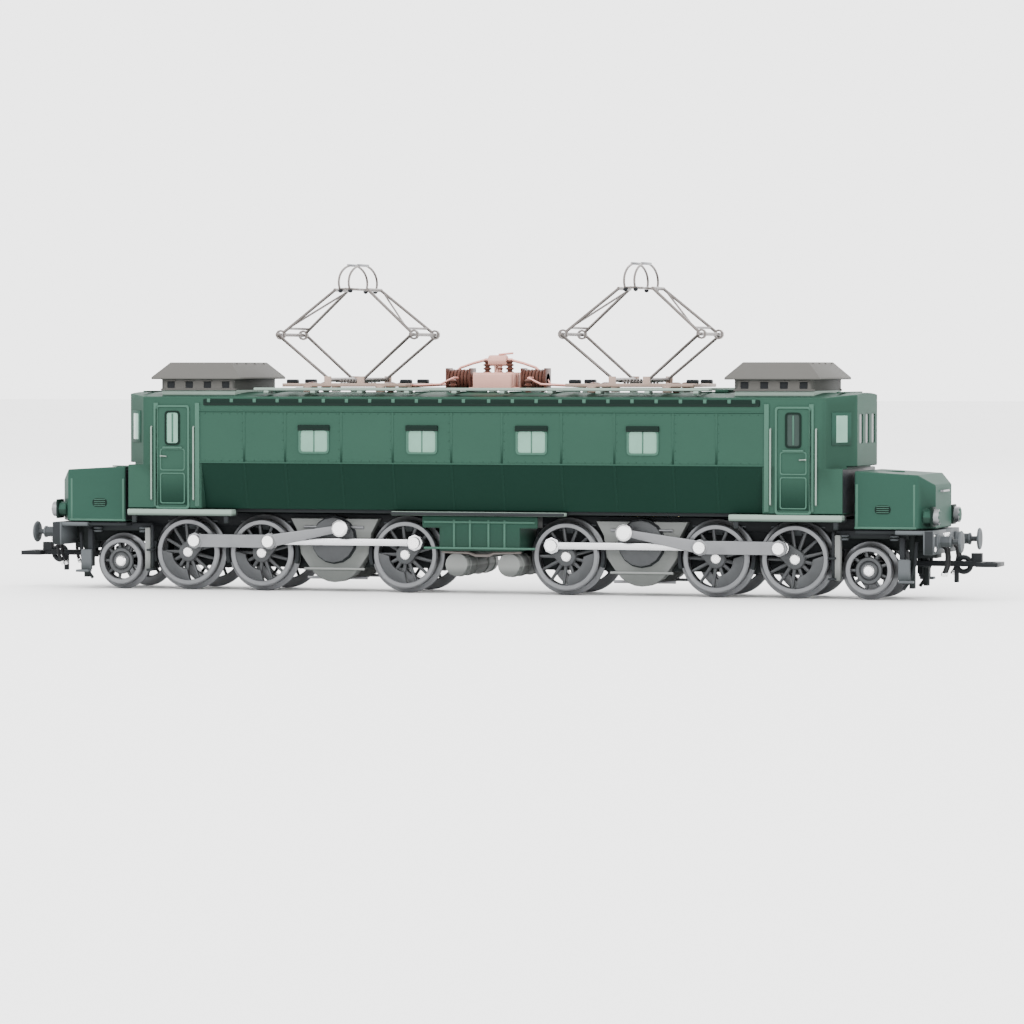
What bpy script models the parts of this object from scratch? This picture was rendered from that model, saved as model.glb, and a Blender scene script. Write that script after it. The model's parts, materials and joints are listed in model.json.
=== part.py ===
"""Model electric locomotive, scale 1:87, with two rod-driven bogies and two pantographs.

Frame: X runs along the locomotive with +X at the front end, Y across it with -Y the near
side, and Z up from the lowest points of the wheel flanges. The named sizes are in
millimetres and the helpers turn them into metres.
"""

import math

import bmesh
import bpy
from mathutils import Matrix, Vector

MM = 0.001
COLLECTION = "model_electric_locomotive"

# Clearances
GAP = 0.3  # between pieces that rest on or in each other
RUN = 0.3  # round a shaft or pin that turns
WHEEL_TO_WHEEL = 0.5  # between the flanges of the middle and outer drivers
WHEEL_TO_PONY = 1.4
WHEEL_TO_TANKS = 1.4
WHEEL_TO_CHASSIS = 0.6
ROD_TO_CHASSIS = 0.5
ROUND = 16  # segments of a wheel or another large round piece
SMALL_ROUND = 8  # segments of a pin, tube or buffer

# Wheels and axles
FLANGE = 1.1
DRIVER_RADIUS = 7.75
PONY_RADIUS = 5.45
WHEEL_INNER = 7.0  # half the distance between the backs of the wheels
WHEEL_WIDTH = 3.0
FLANGE_WIDTH = 0.8
AXLE_RADIUS = 1.0
COUPLED_WHEELBASE = 35.0  # from the inner axle to the middle one
JACKSHAFT_RISE = 3.15  # above the driving axles
JACKSHAFT_GEAR_RADIUS = 4.4
JACKSHAFT_CHEEK = 1.3  # of a crank disc beyond its throw
GEAR_CASE_RADIUS = 5.6

# Cranks and rods
CRANK_THROW = 3.9
PIN_RADIUS = 0.8
PIN_HEAD_RADIUS = 1.4
PIN_HEAD_THICKNESS = 0.5
EYE_RADIUS = 1.9
ROD_DEPTH = 1.6
PLATE_ROD_DEPTH = 3.0
BOSS = 0.4
ROD_WIDTH = {"inner": 0.8, "outer": 1.0}
ROD_WEB_INSET = 0.1  # how far a rod's web stands back from its eyes' faces
CRANK_ANGLE = {
    ("front", "near"): 140.0,
    ("front", "far"): 230.0,
    ("rear", "near"): 45.0,
    ("rear", "far"): -45.0,
}

# Bogies
BOGIE_PIVOT_RADIUS = 1.8
BOGIE_PIVOT_DEPTH = 2.5
FRAME_TO_CHASSIS = 3.3
FRAME_TO_WHEELS = 1.1
FRAME_BELOW_AXLES = 3.25
FRAME_INNER_OVERHANG = 8.2
FRAME_OUTER_OVERHANG = 5.1
NOSE_HALF_WIDTH = 4.4
NOSE_DEPTH = 4.0
DECK_HALF_WIDTH = 12.6
DECK_THICKNESS = 0.8
BEAM_THICKNESS = 2.0
BEAM_HALF_WIDTH = 14.2
BEAM_BELOW_BUFFERS = 2.8
GEAR_SLOT_HALF_WIDTH = 2.2
GEAR_SLOT_HALF_LENGTH = 5.2
GUARD_IRON_SETBACK = 4.6
GUARD_IRON_THICKNESS = 1.2

# Hoods on the bogies
HOOD_GAP = 2.0  # between the body and the hood
HOOD_LENGTH = 17.3
HOOD_TO_BEAM_END = 0.6
HOOD_HALF_WIDTH = 13.2
HOOD_BELOW_WAIST = 0.9
HOOD_FRONT_DROP = 0.8
HOOD_BEVEL = 3.0
HOOD_BEVEL_DROP = 2.3
HOOD_CORNER = (3.0, 4.8)
HOOD_WALL = 1.0
LAMP_RADIUS = 1.8
LAMP_Y = 10.9
LAMP_ABOVE_DECK = 3.0
LAMP_REACH = 1.6

# Buffers and couplers
BUFFER_Y = 10.06
BUFFER_Z = 13.2
BUFFER_LENGTH = 5.6
BUFFER_HEAD_RADIUS = 2.5
BUFFER_HEAD_THICKNESS = 0.8
COUPLER_PIN_RADIUS = 0.8
COUPLER_SETBACK = 3.0  # of its pivot behind the buffer beam
COUPLER_LENGTH = 17.4
COUPLER_Z = 7.4
COUPLER_THICKNESS = 1.2
COUPLER_LOOP = (5.0, 8.0)  # length and width of the loop
COUPLER_LOOP_BAR = 1.0

# Pony trucks
PONY_ARM = 8.7  # from a pony truck's pivot to its axle
PONY_PIN_RADIUS = 0.8
PONY_FRAME_HALF_WIDTH = 3.2
PONY_FRAME_DEPTH = 3.4

# Body
BODY_HALF_LENGTH = 84.7
BODY_HALF_WIDTH = 17.0
BODY_SLANT = 2.4  # how far the lower walls lean in
BODY_ABOVE_CHASSIS_BOTTOM = 0.8
LOWER_WALL_HEIGHT = 10.5
UPPER_WALL_HEIGHT = 15.3
LEDGE_DROP = 0.4  # of the cab corners' foot below the waist
ROOF_RISE = 1.1
BODY_WALL = 1.0
DOOR_SECTION_LENGTH = 18.2
CAB_OVERHANG = 1.9
CAB_CORNER = (5.8, 6.6)
WINDOW_X = (13.0, 39.0)
WINDOW_SIZE = (6.5, 4.8)
WINDOW_ABOVE_WAIST = 5.2
DOOR_WINDOW_SETBACK = 11.1
DOOR_WINDOW_SIZE = (2.8, 7.0)
DOOR_WINDOW_ABOVE_WAIST = 8.1
CAB_WINDOW_SIZE = (3.4, 6.5)
CAB_WINDOW_ABOVE_WAIST = 8.4
CAB_WINDOW_SPACING = 6.3
CORNER_WINDOW_WIDTH = 4.6

# Chassis and what it carries
CHASSIS_THICKNESS = 2.7
CHASSIS_SETBACK = 1.7
FOOTBOARD_LENGTH = 25.7
FOOTBOARD_THICKNESS = 1.4
LEDGE_HALF_LENGTH = 20.5
LEDGE_THICKNESS = 0.7
MOTOR_RADIUS = 6.0
MOTOR_HALF_LENGTH = 12.0
MOTOR_LIFT = 0.2  # above the chassis's underside
MOTOR_SHAFT_RADIUS = 0.6
FLYWHEEL_RADIUS = 4.4
FLYWHEEL_WIDTH = 5.0
CARDAN_RADIUS = 0.8
CARDAN_BALL_RADIUS = 1.2
WORM_RADIUS = 1.5
WORM_SHAFT_HALF_LENGTH = 6.2
WORM_BRACKET_HALF_WIDTH = 3.6
CHASSIS_OPENING_MARGIN = 1.0
BOARD_HALF_WIDTH = 10.0
BOARD_LENGTH = 47.0
BOARD_THICKNESS = 1.2
BOARD_SPACER = 1.7
TRANSFORMER_HALF_LENGTH = 9.6
TRANSFORMER_WING = 4.1
TRANSFORMER_HEIGHT = 7.9
TANK_RADIUS = 2.7
TANK_HALF_LENGTH = 12.0
TANK_SPACING = 12.5

# Roof
WALKWAY_HALF_LENGTH = 54.0
WALKWAY_FROM_EDGE = 3.0
WALKWAY_HALF_WIDTH = 1.6
WALKWAY_ABOVE_CROWN = 1.0
WALKWAY_THICKNESS = 0.7
WALKWAY_POSTS = 9
RESISTOR_SETBACK = 16.3  # of its middle from the body's lower end
RESISTOR_HALF_LENGTH = 9.0
RESISTOR_FROM_EDGE = 3.5
RESISTOR_HEIGHT = 2.6
RESISTOR_OVERHANG = 1.9
RESISTOR_COVER_RISE = 3.9
RESISTOR_COVER_RIM = 0.5
RESISTOR_COVER_SLOPE = 3.4
RESISTOR_SLOTS = 4
CHOKE_X = 9.0
CHOKE_RADIUS = 2.4
CHOKE_HALF_LENGTH = 3.0
SWITCH_HALF_LENGTH = 4.6
SWITCH_HALF_WIDTH = 5.0
SWITCH_HEIGHT = 3.9

# Pantographs
PANTOGRAPH_X = 34.0
ARM_LENGTH = 16.0
ARM_ANGLE = 40.3  # above the horizontal, as raised
PIVOT_HALF_SPACING = 4.0
PIVOT_ABOVE_CROWN = 2.8
ARM_TUBE_RADIUS = 0.35
PIVOT_TUBE_RADIUS = 0.5
PIVOT_HALF_WIDTH = 8.6
KNEE_HALF_WIDTH = 9.6
KNEE_EYE_Y = 7.6
TOP_HALF_WIDTH = 4.5
BASE_HALF_LENGTH = 15.0
BASE_RAIL = 0.8
COLLECTOR_HALF_WIDTH = 10.4
COLLECTOR_RISE = 6.0
COLLECTOR_DROP = 4.6
COLLECTOR_SPACING = 1.2

# Sizes that follow: running gear
DRIVER_FLANGE = DRIVER_RADIUS + FLANGE
PONY_FLANGE = PONY_RADIUS + FLANGE
DRIVER_Z = DRIVER_FLANGE
PONY_Z = PONY_FLANGE
INNER_AXLE_X = TANK_SPACING / 2 + TANK_RADIUS + WHEEL_TO_TANKS + DRIVER_FLANGE
MIDDLE_AXLE_X = INNER_AXLE_X + COUPLED_WHEELBASE
OUTER_AXLE_X = MIDDLE_AXLE_X + 2 * DRIVER_FLANGE + WHEEL_TO_WHEEL
DRIVER_X = {"inner": INNER_AXLE_X, "middle": MIDDLE_AXLE_X, "outer": OUTER_AXLE_X}
PONY_X = OUTER_AXLE_X + DRIVER_FLANGE + WHEEL_TO_PONY + PONY_FLANGE
PONY_PIVOT_X = PONY_X - PONY_ARM
JACKSHAFT_X = (INNER_AXLE_X + MIDDLE_AXLE_X) / 2
JACKSHAFT_Z = DRIVER_Z + JACKSHAFT_RISE
BOGIE_PIVOT_X = (INNER_AXLE_X + OUTER_AXLE_X) / 2
WHEEL_OUTER = WHEEL_INNER + WHEEL_WIDTH
ROD_INNER_Y = WHEEL_OUTER + BOSS + GAP
ROD_OUTER_Y = ROD_INNER_Y + ROD_WIDTH["inner"] + GAP
ROD_Y = {"inner": ROD_INNER_Y, "outer": ROD_OUTER_Y}

# Sizes that follow: chassis and body
ROD_CREST = JACKSHAFT_Z + CRANK_THROW + EYE_RADIUS
CHASSIS_BOTTOM = max(DRIVER_Z + DRIVER_FLANGE + WHEEL_TO_CHASSIS, ROD_CREST + ROD_TO_CHASSIS)
CHASSIS_TOP = CHASSIS_BOTTOM + CHASSIS_THICKNESS
BODY_BOTTOM = CHASSIS_BOTTOM + BODY_ABOVE_CHASSIS_BOTTOM
WAIST = BODY_BOTTOM + LOWER_WALL_HEIGHT
CORNER_LEDGE = WAIST - LEDGE_DROP
EAVE = WAIST + UPPER_WALL_HEIGHT
CROWN = EAVE + ROOF_RISE
WALL_SLOPE = BODY_SLANT / LOWER_WALL_HEIGHT
BODY_HALF_WIDTH_BELOW = BODY_HALF_WIDTH - BODY_SLANT
DOOR_SECTION_X = BODY_HALF_LENGTH - DOOR_SECTION_LENGTH
CAB_FRONT_X = BODY_HALF_LENGTH + CAB_OVERHANG
DOOR_WINDOW_X = BODY_HALF_LENGTH - DOOR_WINDOW_SETBACK
WINDOW_Z = WAIST + WINDOW_ABOVE_WAIST
DOOR_WINDOW_Z = WAIST + DOOR_WINDOW_ABOVE_WAIST
CAB_WINDOW_Z = WAIST + CAB_WINDOW_ABOVE_WAIST
MOTOR_Z = CHASSIS_BOTTOM + MOTOR_LIFT + MOTOR_RADIUS
WORM_Z = JACKSHAFT_Z + JACKSHAFT_GEAR_RADIUS + WORM_RADIUS + RUN
FLYWHEEL_GAP = 1.5  # between the motor and the flywheel
FLYWHEEL_END_X = MOTOR_HALF_LENGTH + FLYWHEEL_GAP + FLYWHEEL_WIDTH
BOARD_START_X = FLYWHEEL_END_X + 9.0

# Sizes that follow: bogies and hoods
FRAME_TOP = CHASSIS_BOTTOM - FRAME_TO_CHASSIS
DECK_BOTTOM = FRAME_TOP - 0.2
DECK_TOP = DECK_BOTTOM + DECK_THICKNESS
HOOD_X = BODY_HALF_LENGTH + HOOD_GAP
PONY_REACH = PONY_X + PONY_FLANGE + GAP + GUARD_IRON_SETBACK + BEAM_THICKNESS
BEAM_END_X = max(HOOD_X + HOOD_LENGTH + HOOD_TO_BEAM_END, PONY_REACH)
HOOD_FRONT_X = BEAM_END_X - HOOD_TO_BEAM_END
HOOD_BOTTOM = DECK_TOP + GAP
HOOD_TOP = WAIST - HOOD_BELOW_WAIST
BEAM_X = BEAM_END_X - BEAM_THICKNESS
COUPLER_PIVOT_X = BEAM_X - COUPLER_SETBACK
COUPLER_TIP_X = COUPLER_PIVOT_X + COUPLER_LENGTH
NOSE_BOTTOM = FRAME_TOP - NOSE_DEPTH
LAMP_Z = DECK_TOP + LAMP_ABOVE_DECK

# Sizes that follow: roof
RESISTOR_X = BODY_HALF_LENGTH - RESISTOR_SETBACK
RESISTOR_HALF_WIDTH = BODY_HALF_WIDTH - RESISTOR_FROM_EDGE
WALKWAY_Y = BODY_HALF_WIDTH - WALKWAY_FROM_EDGE
WALKWAY_TOP = CROWN + WALKWAY_ABOVE_CROWN
SWITCH_TOP = CROWN + GAP + SWITCH_HEIGHT
PIVOT_Z = CROWN + PIVOT_ABOVE_CROWN
KNEE_DX = ARM_LENGTH * math.cos(math.radians(ARM_ANGLE))
KNEE_DZ = ARM_LENGTH * math.sin(math.radians(ARM_ANGLE))
TOP_Z = PIVOT_Z + 2 * KNEE_DZ

ENDS = {"front": 1, "rear": -1}
SIDES = {"near": -1, "far": 1}

PLANES = {
    "xy": Matrix(((1, 0, 0, 0), (0, 1, 0, 0), (0, 0, 1, 0), (0, 0, 0, 1))),
    "yz": Matrix(((0, 0, 1, 0), (1, 0, 0, 0), (0, 1, 0, 0), (0, 0, 0, 1))),
    "xz": Matrix(((1, 0, 0, 0), (0, 0, -1, 0), (0, 1, 0, 0), (0, 0, 0, 1))),
}
AXES = {"x": Vector((1, 0, 0)), "y": Vector((0, 1, 0)), "z": Vector((0, 0, 1))}


# --- Shapes -------------------------------------------------------------------------


def clear_scene():
    for obj in list(bpy.data.objects):
        bpy.data.objects.remove(obj, do_unlink=True)


def part_collection():
    collection = bpy.data.collections.get(COLLECTION)
    if collection is None:
        collection = bpy.data.collections.new(COLLECTION)
        bpy.context.scene.collection.children.link(collection)
    return collection


def link(mesh):
    obj = bpy.data.objects.new(mesh.name, mesh)
    part_collection().objects.link(obj)
    return obj


def from_bmesh(bm):
    bmesh.ops.recalc_face_normals(bm, faces=bm.faces)
    mesh = bpy.data.meshes.new("shape")
    bm.to_mesh(mesh)
    bm.free()
    return link(mesh)


def baked(obj):
    """The object with its modifiers or its curve turned into a plain closed mesh."""
    bpy.context.view_layer.update()
    evaluated = obj.evaluated_get(bpy.context.evaluated_depsgraph_get())
    bm = bmesh.new()
    mesh = bpy.data.meshes.new_from_object(evaluated)
    bm.from_mesh(mesh)
    bm.transform(obj.matrix_world)
    bmesh.ops.remove_doubles(bm, verts=bm.verts, dist=1e-6)
    bmesh.ops.dissolve_degenerate(bm, edges=bm.edges, dist=1e-7)
    bpy.data.meshes.remove(mesh)
    bpy.data.objects.remove(obj, do_unlink=True)
    return from_bmesh(bm)


def block(x, y, z):
    """A box between pairs of millimetres, in either order."""
    spans = [sorted(span) for span in (x, y, z)]
    size = Vector([(high - low) * MM for low, high in spans])
    centre = Vector([(high + low) / 2 * MM for low, high in spans])
    bm = bmesh.new()
    bmesh.ops.create_cube(bm, size=1.0)
    bmesh.ops.transform(bm, matrix=Matrix.Diagonal(size).to_4x4(), verts=bm.verts)
    bmesh.ops.translate(bm, vec=centre, verts=bm.verts)
    return from_bmesh(bm)


def bar(start, end, radius, segments=SMALL_ROUND, end_radius=None):
    """A round bar, or a cone, from one point to another."""
    a, b = Vector(start) * MM, Vector(end) * MM
    along = b - a
    bm = bmesh.new()
    bmesh.ops.create_cone(
        bm,
        cap_ends=True,
        segments=segments,
        radius1=radius * MM,
        radius2=(radius if end_radius is None else end_radius) * MM,
        depth=along.length,
    )
    turn = AXES["z"].rotation_difference(along).to_matrix().to_4x4()
    bmesh.ops.transform(bm, matrix=Matrix.Translation((a + b) / 2) @ turn, verts=bm.verts)
    return from_bmesh(bm)


def across(x, z, radius, low, high, segments=SMALL_ROUND):
    """A round bar along Y."""
    return bar((x, low, z), (x, high, z), radius, segments)


def upright(x, y, radius, low, high, segments=SMALL_ROUND):
    """A round bar along Z."""
    return bar((x, y, low), (x, y, high), radius, segments)


def ball(centre, radius):
    bm = bmesh.new()
    bmesh.ops.create_uvsphere(bm, u_segments=10, v_segments=6, radius=radius * MM)
    bmesh.ops.translate(bm, vec=Vector(centre) * MM, verts=bm.verts)
    return from_bmesh(bm)


def plate(outline, plane, low, high):
    """A flat outline in a plane, as thick as from low to high on the plane's third axis."""
    curve = bpy.data.curves.new("outline", "CURVE")
    curve.dimensions = "2D"
    curve.fill_mode = "BOTH"
    curve.extrude = (high - low) / 2 * MM
    curve.render_resolution_u = 0
    spline = curve.splines.new("POLY")
    spline.points.add(len(outline) - 1)
    for point, (u, v) in zip(spline.points, outline):
        point.co = (u * MM, v * MM, 0, 1)
    spline.use_cyclic_u = True
    obj = bpy.data.objects.new("outline", curve)
    part_collection().objects.link(obj)
    middle = (low + high) / 2 * MM
    shift = {"xy": (0, 0, middle), "yz": (middle, 0, 0), "xz": (0, middle, 0)}[plane]
    obj.matrix_world = Matrix.Translation(shift) @ PLANES[plane]
    return baked(obj)


def turned(profile, axis, centre, segments=ROUND):
    """A profile of (radius, place along the axis) turned about an axis through a point."""
    mesh = bpy.data.meshes.new("profile")
    points = [(radius * MM, 0.0, along * MM) for radius, along in reversed(profile)]
    mesh.from_pydata(points, [(i, i + 1) for i in range(len(points) - 1)], [])
    obj = link(mesh)
    screw = obj.modifiers.new("turn", "SCREW")
    screw.angle = 2 * math.pi
    screw.steps = screw.render_steps = segments
    screw.use_merge_vertices = True
    screw.merge_threshold = 1e-6
    turn = AXES["z"].rotation_difference(AXES[axis]).to_matrix().to_4x4()
    obj.matrix_world = Matrix.Translation(Vector(centre) * MM) @ turn
    return baked(obj)


def combine(base, tools, operation):
    for tool in tools:
        modifier = base.modifiers.new(operation.lower(), "BOOLEAN")
        modifier.operation = operation
        modifier.object = tool
    result = baked(base)
    for tool in tools:
        bpy.data.objects.remove(tool, do_unlink=True)
    return result


def fuse(base, *tools):
    return combine(base, tools, "UNION")


def carve(base, *tools):
    return combine(base, tools, "DIFFERENCE")


def turned_about(obj, angle, centre):
    """The shape turned by degrees about an upright line through (x, y)."""
    place = Matrix.Translation(Vector((centre[0], centre[1], 0)) * MM)
    turn = Matrix.Rotation(math.radians(angle), 4, "Z")
    obj.data.transform(place @ turn @ place.inverted())
    return obj


# --- Finishing ----------------------------------------------------------------------


def material(name, colour, roughness, metallic):
    made = bpy.data.materials.new(name)
    made.use_nodes = True
    made.diffuse_color = (*colour, 1.0)
    shader = made.node_tree.nodes["Principled BSDF"]
    shader.inputs["Base Color"].default_value = (*colour, 1.0)
    shader.inputs["Roughness"].default_value = roughness
    shader.inputs["Metallic"].default_value = metallic
    return made


FINISHES = {
    "body_green": ((0.075, 0.19, 0.13), 0.45, 0.0),
    "frame_grey": ((0.19, 0.2, 0.205), 0.5, 0.0),
    "wheel_grey": ((0.24, 0.25, 0.26), 0.45, 0.3),
    "rod_steel": ((0.62, 0.63, 0.64), 0.3, 1.0),
    "roof_grey": ((0.33, 0.32, 0.3), 0.6, 0.0),
    "insulator_brown": ((0.3, 0.13, 0.09), 0.4, 0.0),
    "wire_grey": ((0.32, 0.33, 0.34), 0.4, 0.8),
    "clear": ((0.75, 0.86, 0.84), 0.1, 0.0),
    "motor_metal": ((0.45, 0.45, 0.46), 0.35, 0.9),
    "board_green": ((0.03, 0.2, 0.08), 0.5, 0.0),
    "brass": ((0.7, 0.5, 0.2), 0.35, 1.0),
    "coupler_black": ((0.04, 0.04, 0.045), 0.5, 0.0),
}


def node(name, obj, finish, pivot=(0, 0, 0), parent=None):
    """Names a finished shape, gives it its finish, and puts its origin on its pivot."""
    obj.name = name
    obj.data.name = name
    obj.data.materials.append(material(name, *FINISHES[finish]))
    obj.data.shade_smooth()
    obj.data.set_sharp_from_angle(angle=math.radians(35))
    place = Vector(pivot) * MM
    obj.data.transform(Matrix.Translation(-place))
    obj.location = place
    if parent is not None:
        obj.parent = parent
        obj.location = place - parent.location
    return obj


def pivot_empty(name, x):
    empty = bpy.data.objects.new(name, None)
    empty.location = (x * MM, 0, 0)
    part_collection().objects.link(empty)
    return empty


# --- Body ---------------------------------------------------------------------------


def roofed_section(half, bottom, eave, crown):
    """A cross-section with upright walls and an arched roof, as (y, z) points."""
    steps = 8
    arch = []
    for i in range(steps + 1):
        y = half * (1 - 2 * i / steps)
        arch.append((y, crown - (crown - eave) * (y / half) ** 2))
    return [(half, bottom)] + arch + [(-half, bottom)]


def slant_cutter(side, half, low, reach):
    """What is cut away outside a slanted lower wall between the door sections."""
    outline = [
        (half + WALL_SLOPE, WAIST + 1),
        (half - WALL_SLOPE * (WAIST - low), low),
        (half + 6, low),
        (half + 6, WAIST + 1),
    ]
    outline = [(side * y, z) for y, z in outline]
    return plate(outline, "yz", -reach, reach)


def corner_cutter(end, side, inset):
    """What is cut away in front of a cab's slanted corner, above the ledge."""
    corner_dx, corner_dy = CAB_CORNER
    normal = Vector((corner_dy, corner_dx)).normalized() * inset
    edge = Vector((corner_dx, -corner_dy)).normalized() * 4
    start = Vector((CAB_FRONT_X - corner_dx, BODY_HALF_WIDTH)) - normal - edge
    stop = Vector((CAB_FRONT_X, BODY_HALF_WIDTH - corner_dy)) - normal + edge
    outline = [start, stop, Vector((stop.x + 9, start.y + 9))]
    outline = [(end * point.x, side * point.y) for point in outline]
    return plate(outline, "xy", CORNER_LEDGE - inset, CROWN + 5)


def body_block(inset):
    """The body's outer form, or its inner space when it is inset by the wall."""
    bottom = BODY_BOTTOM - (2.0 if inset else 0.0)
    half = BODY_HALF_WIDTH - inset
    section = roofed_section(half, bottom, EAVE - inset, CROWN - inset)
    form = plate(section, "yz", -CAB_FRONT_X + inset, CAB_FRONT_X - inset)
    cuts = []
    for side in SIDES.values():
        cuts.append(slant_cutter(side, half, bottom - 3, DOOR_SECTION_X + inset))
    for end in ENDS.values():
        front = end * (BODY_HALF_LENGTH - inset)
        beyond = end * (CAB_FRONT_X + 5)
        cuts.append(block((front, beyond), (-2 * half, 2 * half), (bottom - 5, WAIST + inset)))
        for side in SIDES.values():
            cuts.append(corner_cutter(end, side, inset))
    return carve(form, *cuts)


def window_cutters():
    width, height = WINDOW_SIZE
    cutters = []
    for x in (*WINDOW_X, *(-x for x in WINDOW_X)):
        span = (WINDOW_Z - height / 2, WINDOW_Z + height / 2)
        cutters.append(block((x - width / 2, x + width / 2), (-20, 20), span))
    door_span = (DOOR_WINDOW_Z - DOOR_WINDOW_SIZE[1] / 2, DOOR_WINDOW_Z + DOOR_WINDOW_SIZE[1] / 2)
    cab_span = (CAB_WINDOW_Z - CAB_WINDOW_SIZE[1] / 2, CAB_WINDOW_Z + CAB_WINDOW_SIZE[1] / 2)
    corner_dx, corner_dy = CAB_CORNER
    corner_angle = math.degrees(math.atan2(corner_dy, corner_dx))
    for end in ENDS.values():
        x = end * DOOR_WINDOW_X
        half = DOOR_WINDOW_SIZE[0] / 2
        cutters.append(block((x - half, x + half), (-20, 20), door_span))
        for place in (-1, 0, 1):
            y = place * CAB_WINDOW_SPACING
            half = CAB_WINDOW_SIZE[0] / 2
            depth = (end * (CAB_FRONT_X - 2), end * (CAB_FRONT_X + 2))
            cutters.append(block(depth, (y - half, y + half), cab_span))
        for side in SIDES.values():
            x = end * (CAB_FRONT_X - corner_dx / 2)
            y = side * (BODY_HALF_WIDTH - corner_dy / 2)
            half = CORNER_WINDOW_WIDTH / 2
            cutter = block((x - half, x + half), (y - 2, y + 2), cab_span)
            cutters.append(turned_about(cutter, -end * side * corner_angle, (x, y)))
    return cutters


def body_shell():
    shell = carve(body_block(0.0), body_block(BODY_WALL))
    node("body_shell", carve(shell, *window_cutters()), "body_green")


def glazing(side_name):
    side = SIDES[side_name]
    back = side * (BODY_HALF_WIDTH - BODY_WALL - GAP)
    reach = CAB_FRONT_X - CAB_CORNER[0] - 1.8
    low = WAIST + 1.4
    strip = block((-reach, reach), (back - side * 0.7, back), (low, EAVE - BODY_WALL - 1.1))
    panes = []
    for x in (*WINDOW_X, *(-x for x in WINDOW_X), DOOR_WINDOW_X, -DOOR_WINDOW_X):
        is_door = abs(x) == DOOR_WINDOW_X
        width, height = DOOR_WINDOW_SIZE if is_door else WINDOW_SIZE
        z = DOOR_WINDOW_Z if is_door else WINDOW_Z
        half, tall = width / 2 - GAP, height / 2 - GAP
        depth = (back - side * 0.2, side * (BODY_HALF_WIDTH - 0.4))
        panes.append(block((x - half, x + half), depth, (z - tall, z + tall)))
    node("glazing_" + side_name, fuse(strip, *panes), "clear")


# --- Chassis and drive --------------------------------------------------------------


def chassis_frame():
    half = BODY_HALF_WIDTH_BELOW - BODY_WALL - WALL_SLOPE - GAP
    reach = BODY_HALF_LENGTH - CHASSIS_SETBACK
    frame = block((-reach, reach), (-half, half), (CHASSIS_BOTTOM, CHASSIS_TOP))
    opening_end = JACKSHAFT_X + WORM_SHAFT_HALF_LENGTH + GAP
    opening_start = -FLYWHEEL_END_X - 2.8
    wide = MOTOR_RADIUS + CHASSIS_OPENING_MARGIN
    opening_z = (CHASSIS_BOTTOM - 1, CHASSIS_TOP + 1)
    frame = carve(frame, block((opening_start, opening_end), (-wide, wide), opening_z))
    board_top = BODY_BOTTOM - GAP
    extras = []
    for end in ENDS.values():
        pivot = end * BOGIE_PIVOT_X
        pin = (FRAME_TOP - BOGIE_PIVOT_DEPTH, CHASSIS_BOTTOM + 0.5)
        extras.append(upright(pivot, 0, BOGIE_PIVOT_RADIUS, *pin))
        for side in SIDES.values():
            reach = (side * (half - 0.5), side * BODY_HALF_WIDTH)
            steps = (board_top - FOOTBOARD_THICKNESS, board_top)
            board_end = end * BODY_HALF_LENGTH
            extras.append(block((board_end - end * FOOTBOARD_LENGTH, board_end), reach, steps))
    for side in SIDES.values():
        reach = (side * (half - 0.5), side * (BODY_HALF_WIDTH - 0.5))
        ledge = (board_top - LEDGE_THICKNESS, board_top)
        extras.append(block((-LEDGE_HALF_LENGTH, LEDGE_HALF_LENGTH), reach, ledge))
    for x in (-BOARD_LENGTH / 2 + 5, BOARD_LENGTH / 2 - 5):
        centre = -BOARD_START_X - BOARD_LENGTH / 2
        extras.append(upright(centre + x, 0, 1.6, CHASSIS_TOP - 0.5, CHASSIS_TOP + BOARD_SPACER))
    node("chassis_frame", fuse(frame, *extras), "frame_grey")


def circuit_board():
    start = -BOARD_START_X
    low = CHASSIS_TOP + BOARD_SPACER + GAP
    top = low + BOARD_THICKNESS
    half = BOARD_HALF_WIDTH
    board = block((start, start - BOARD_LENGTH), (-half, half), (low, top))
    chip = block((start - 14, start - 22), (-4, 4), (top - 0.2, top + 1.6))
    socket = block((start - 30, start - 36), (-8, 8), (top - 0.2, top + 3.2))
    choke = upright(start - 6, 5, 1.8, top - 0.2, top + 3.0)
    node("circuit_board", fuse(board, chip, socket, choke), "board_green")


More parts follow.
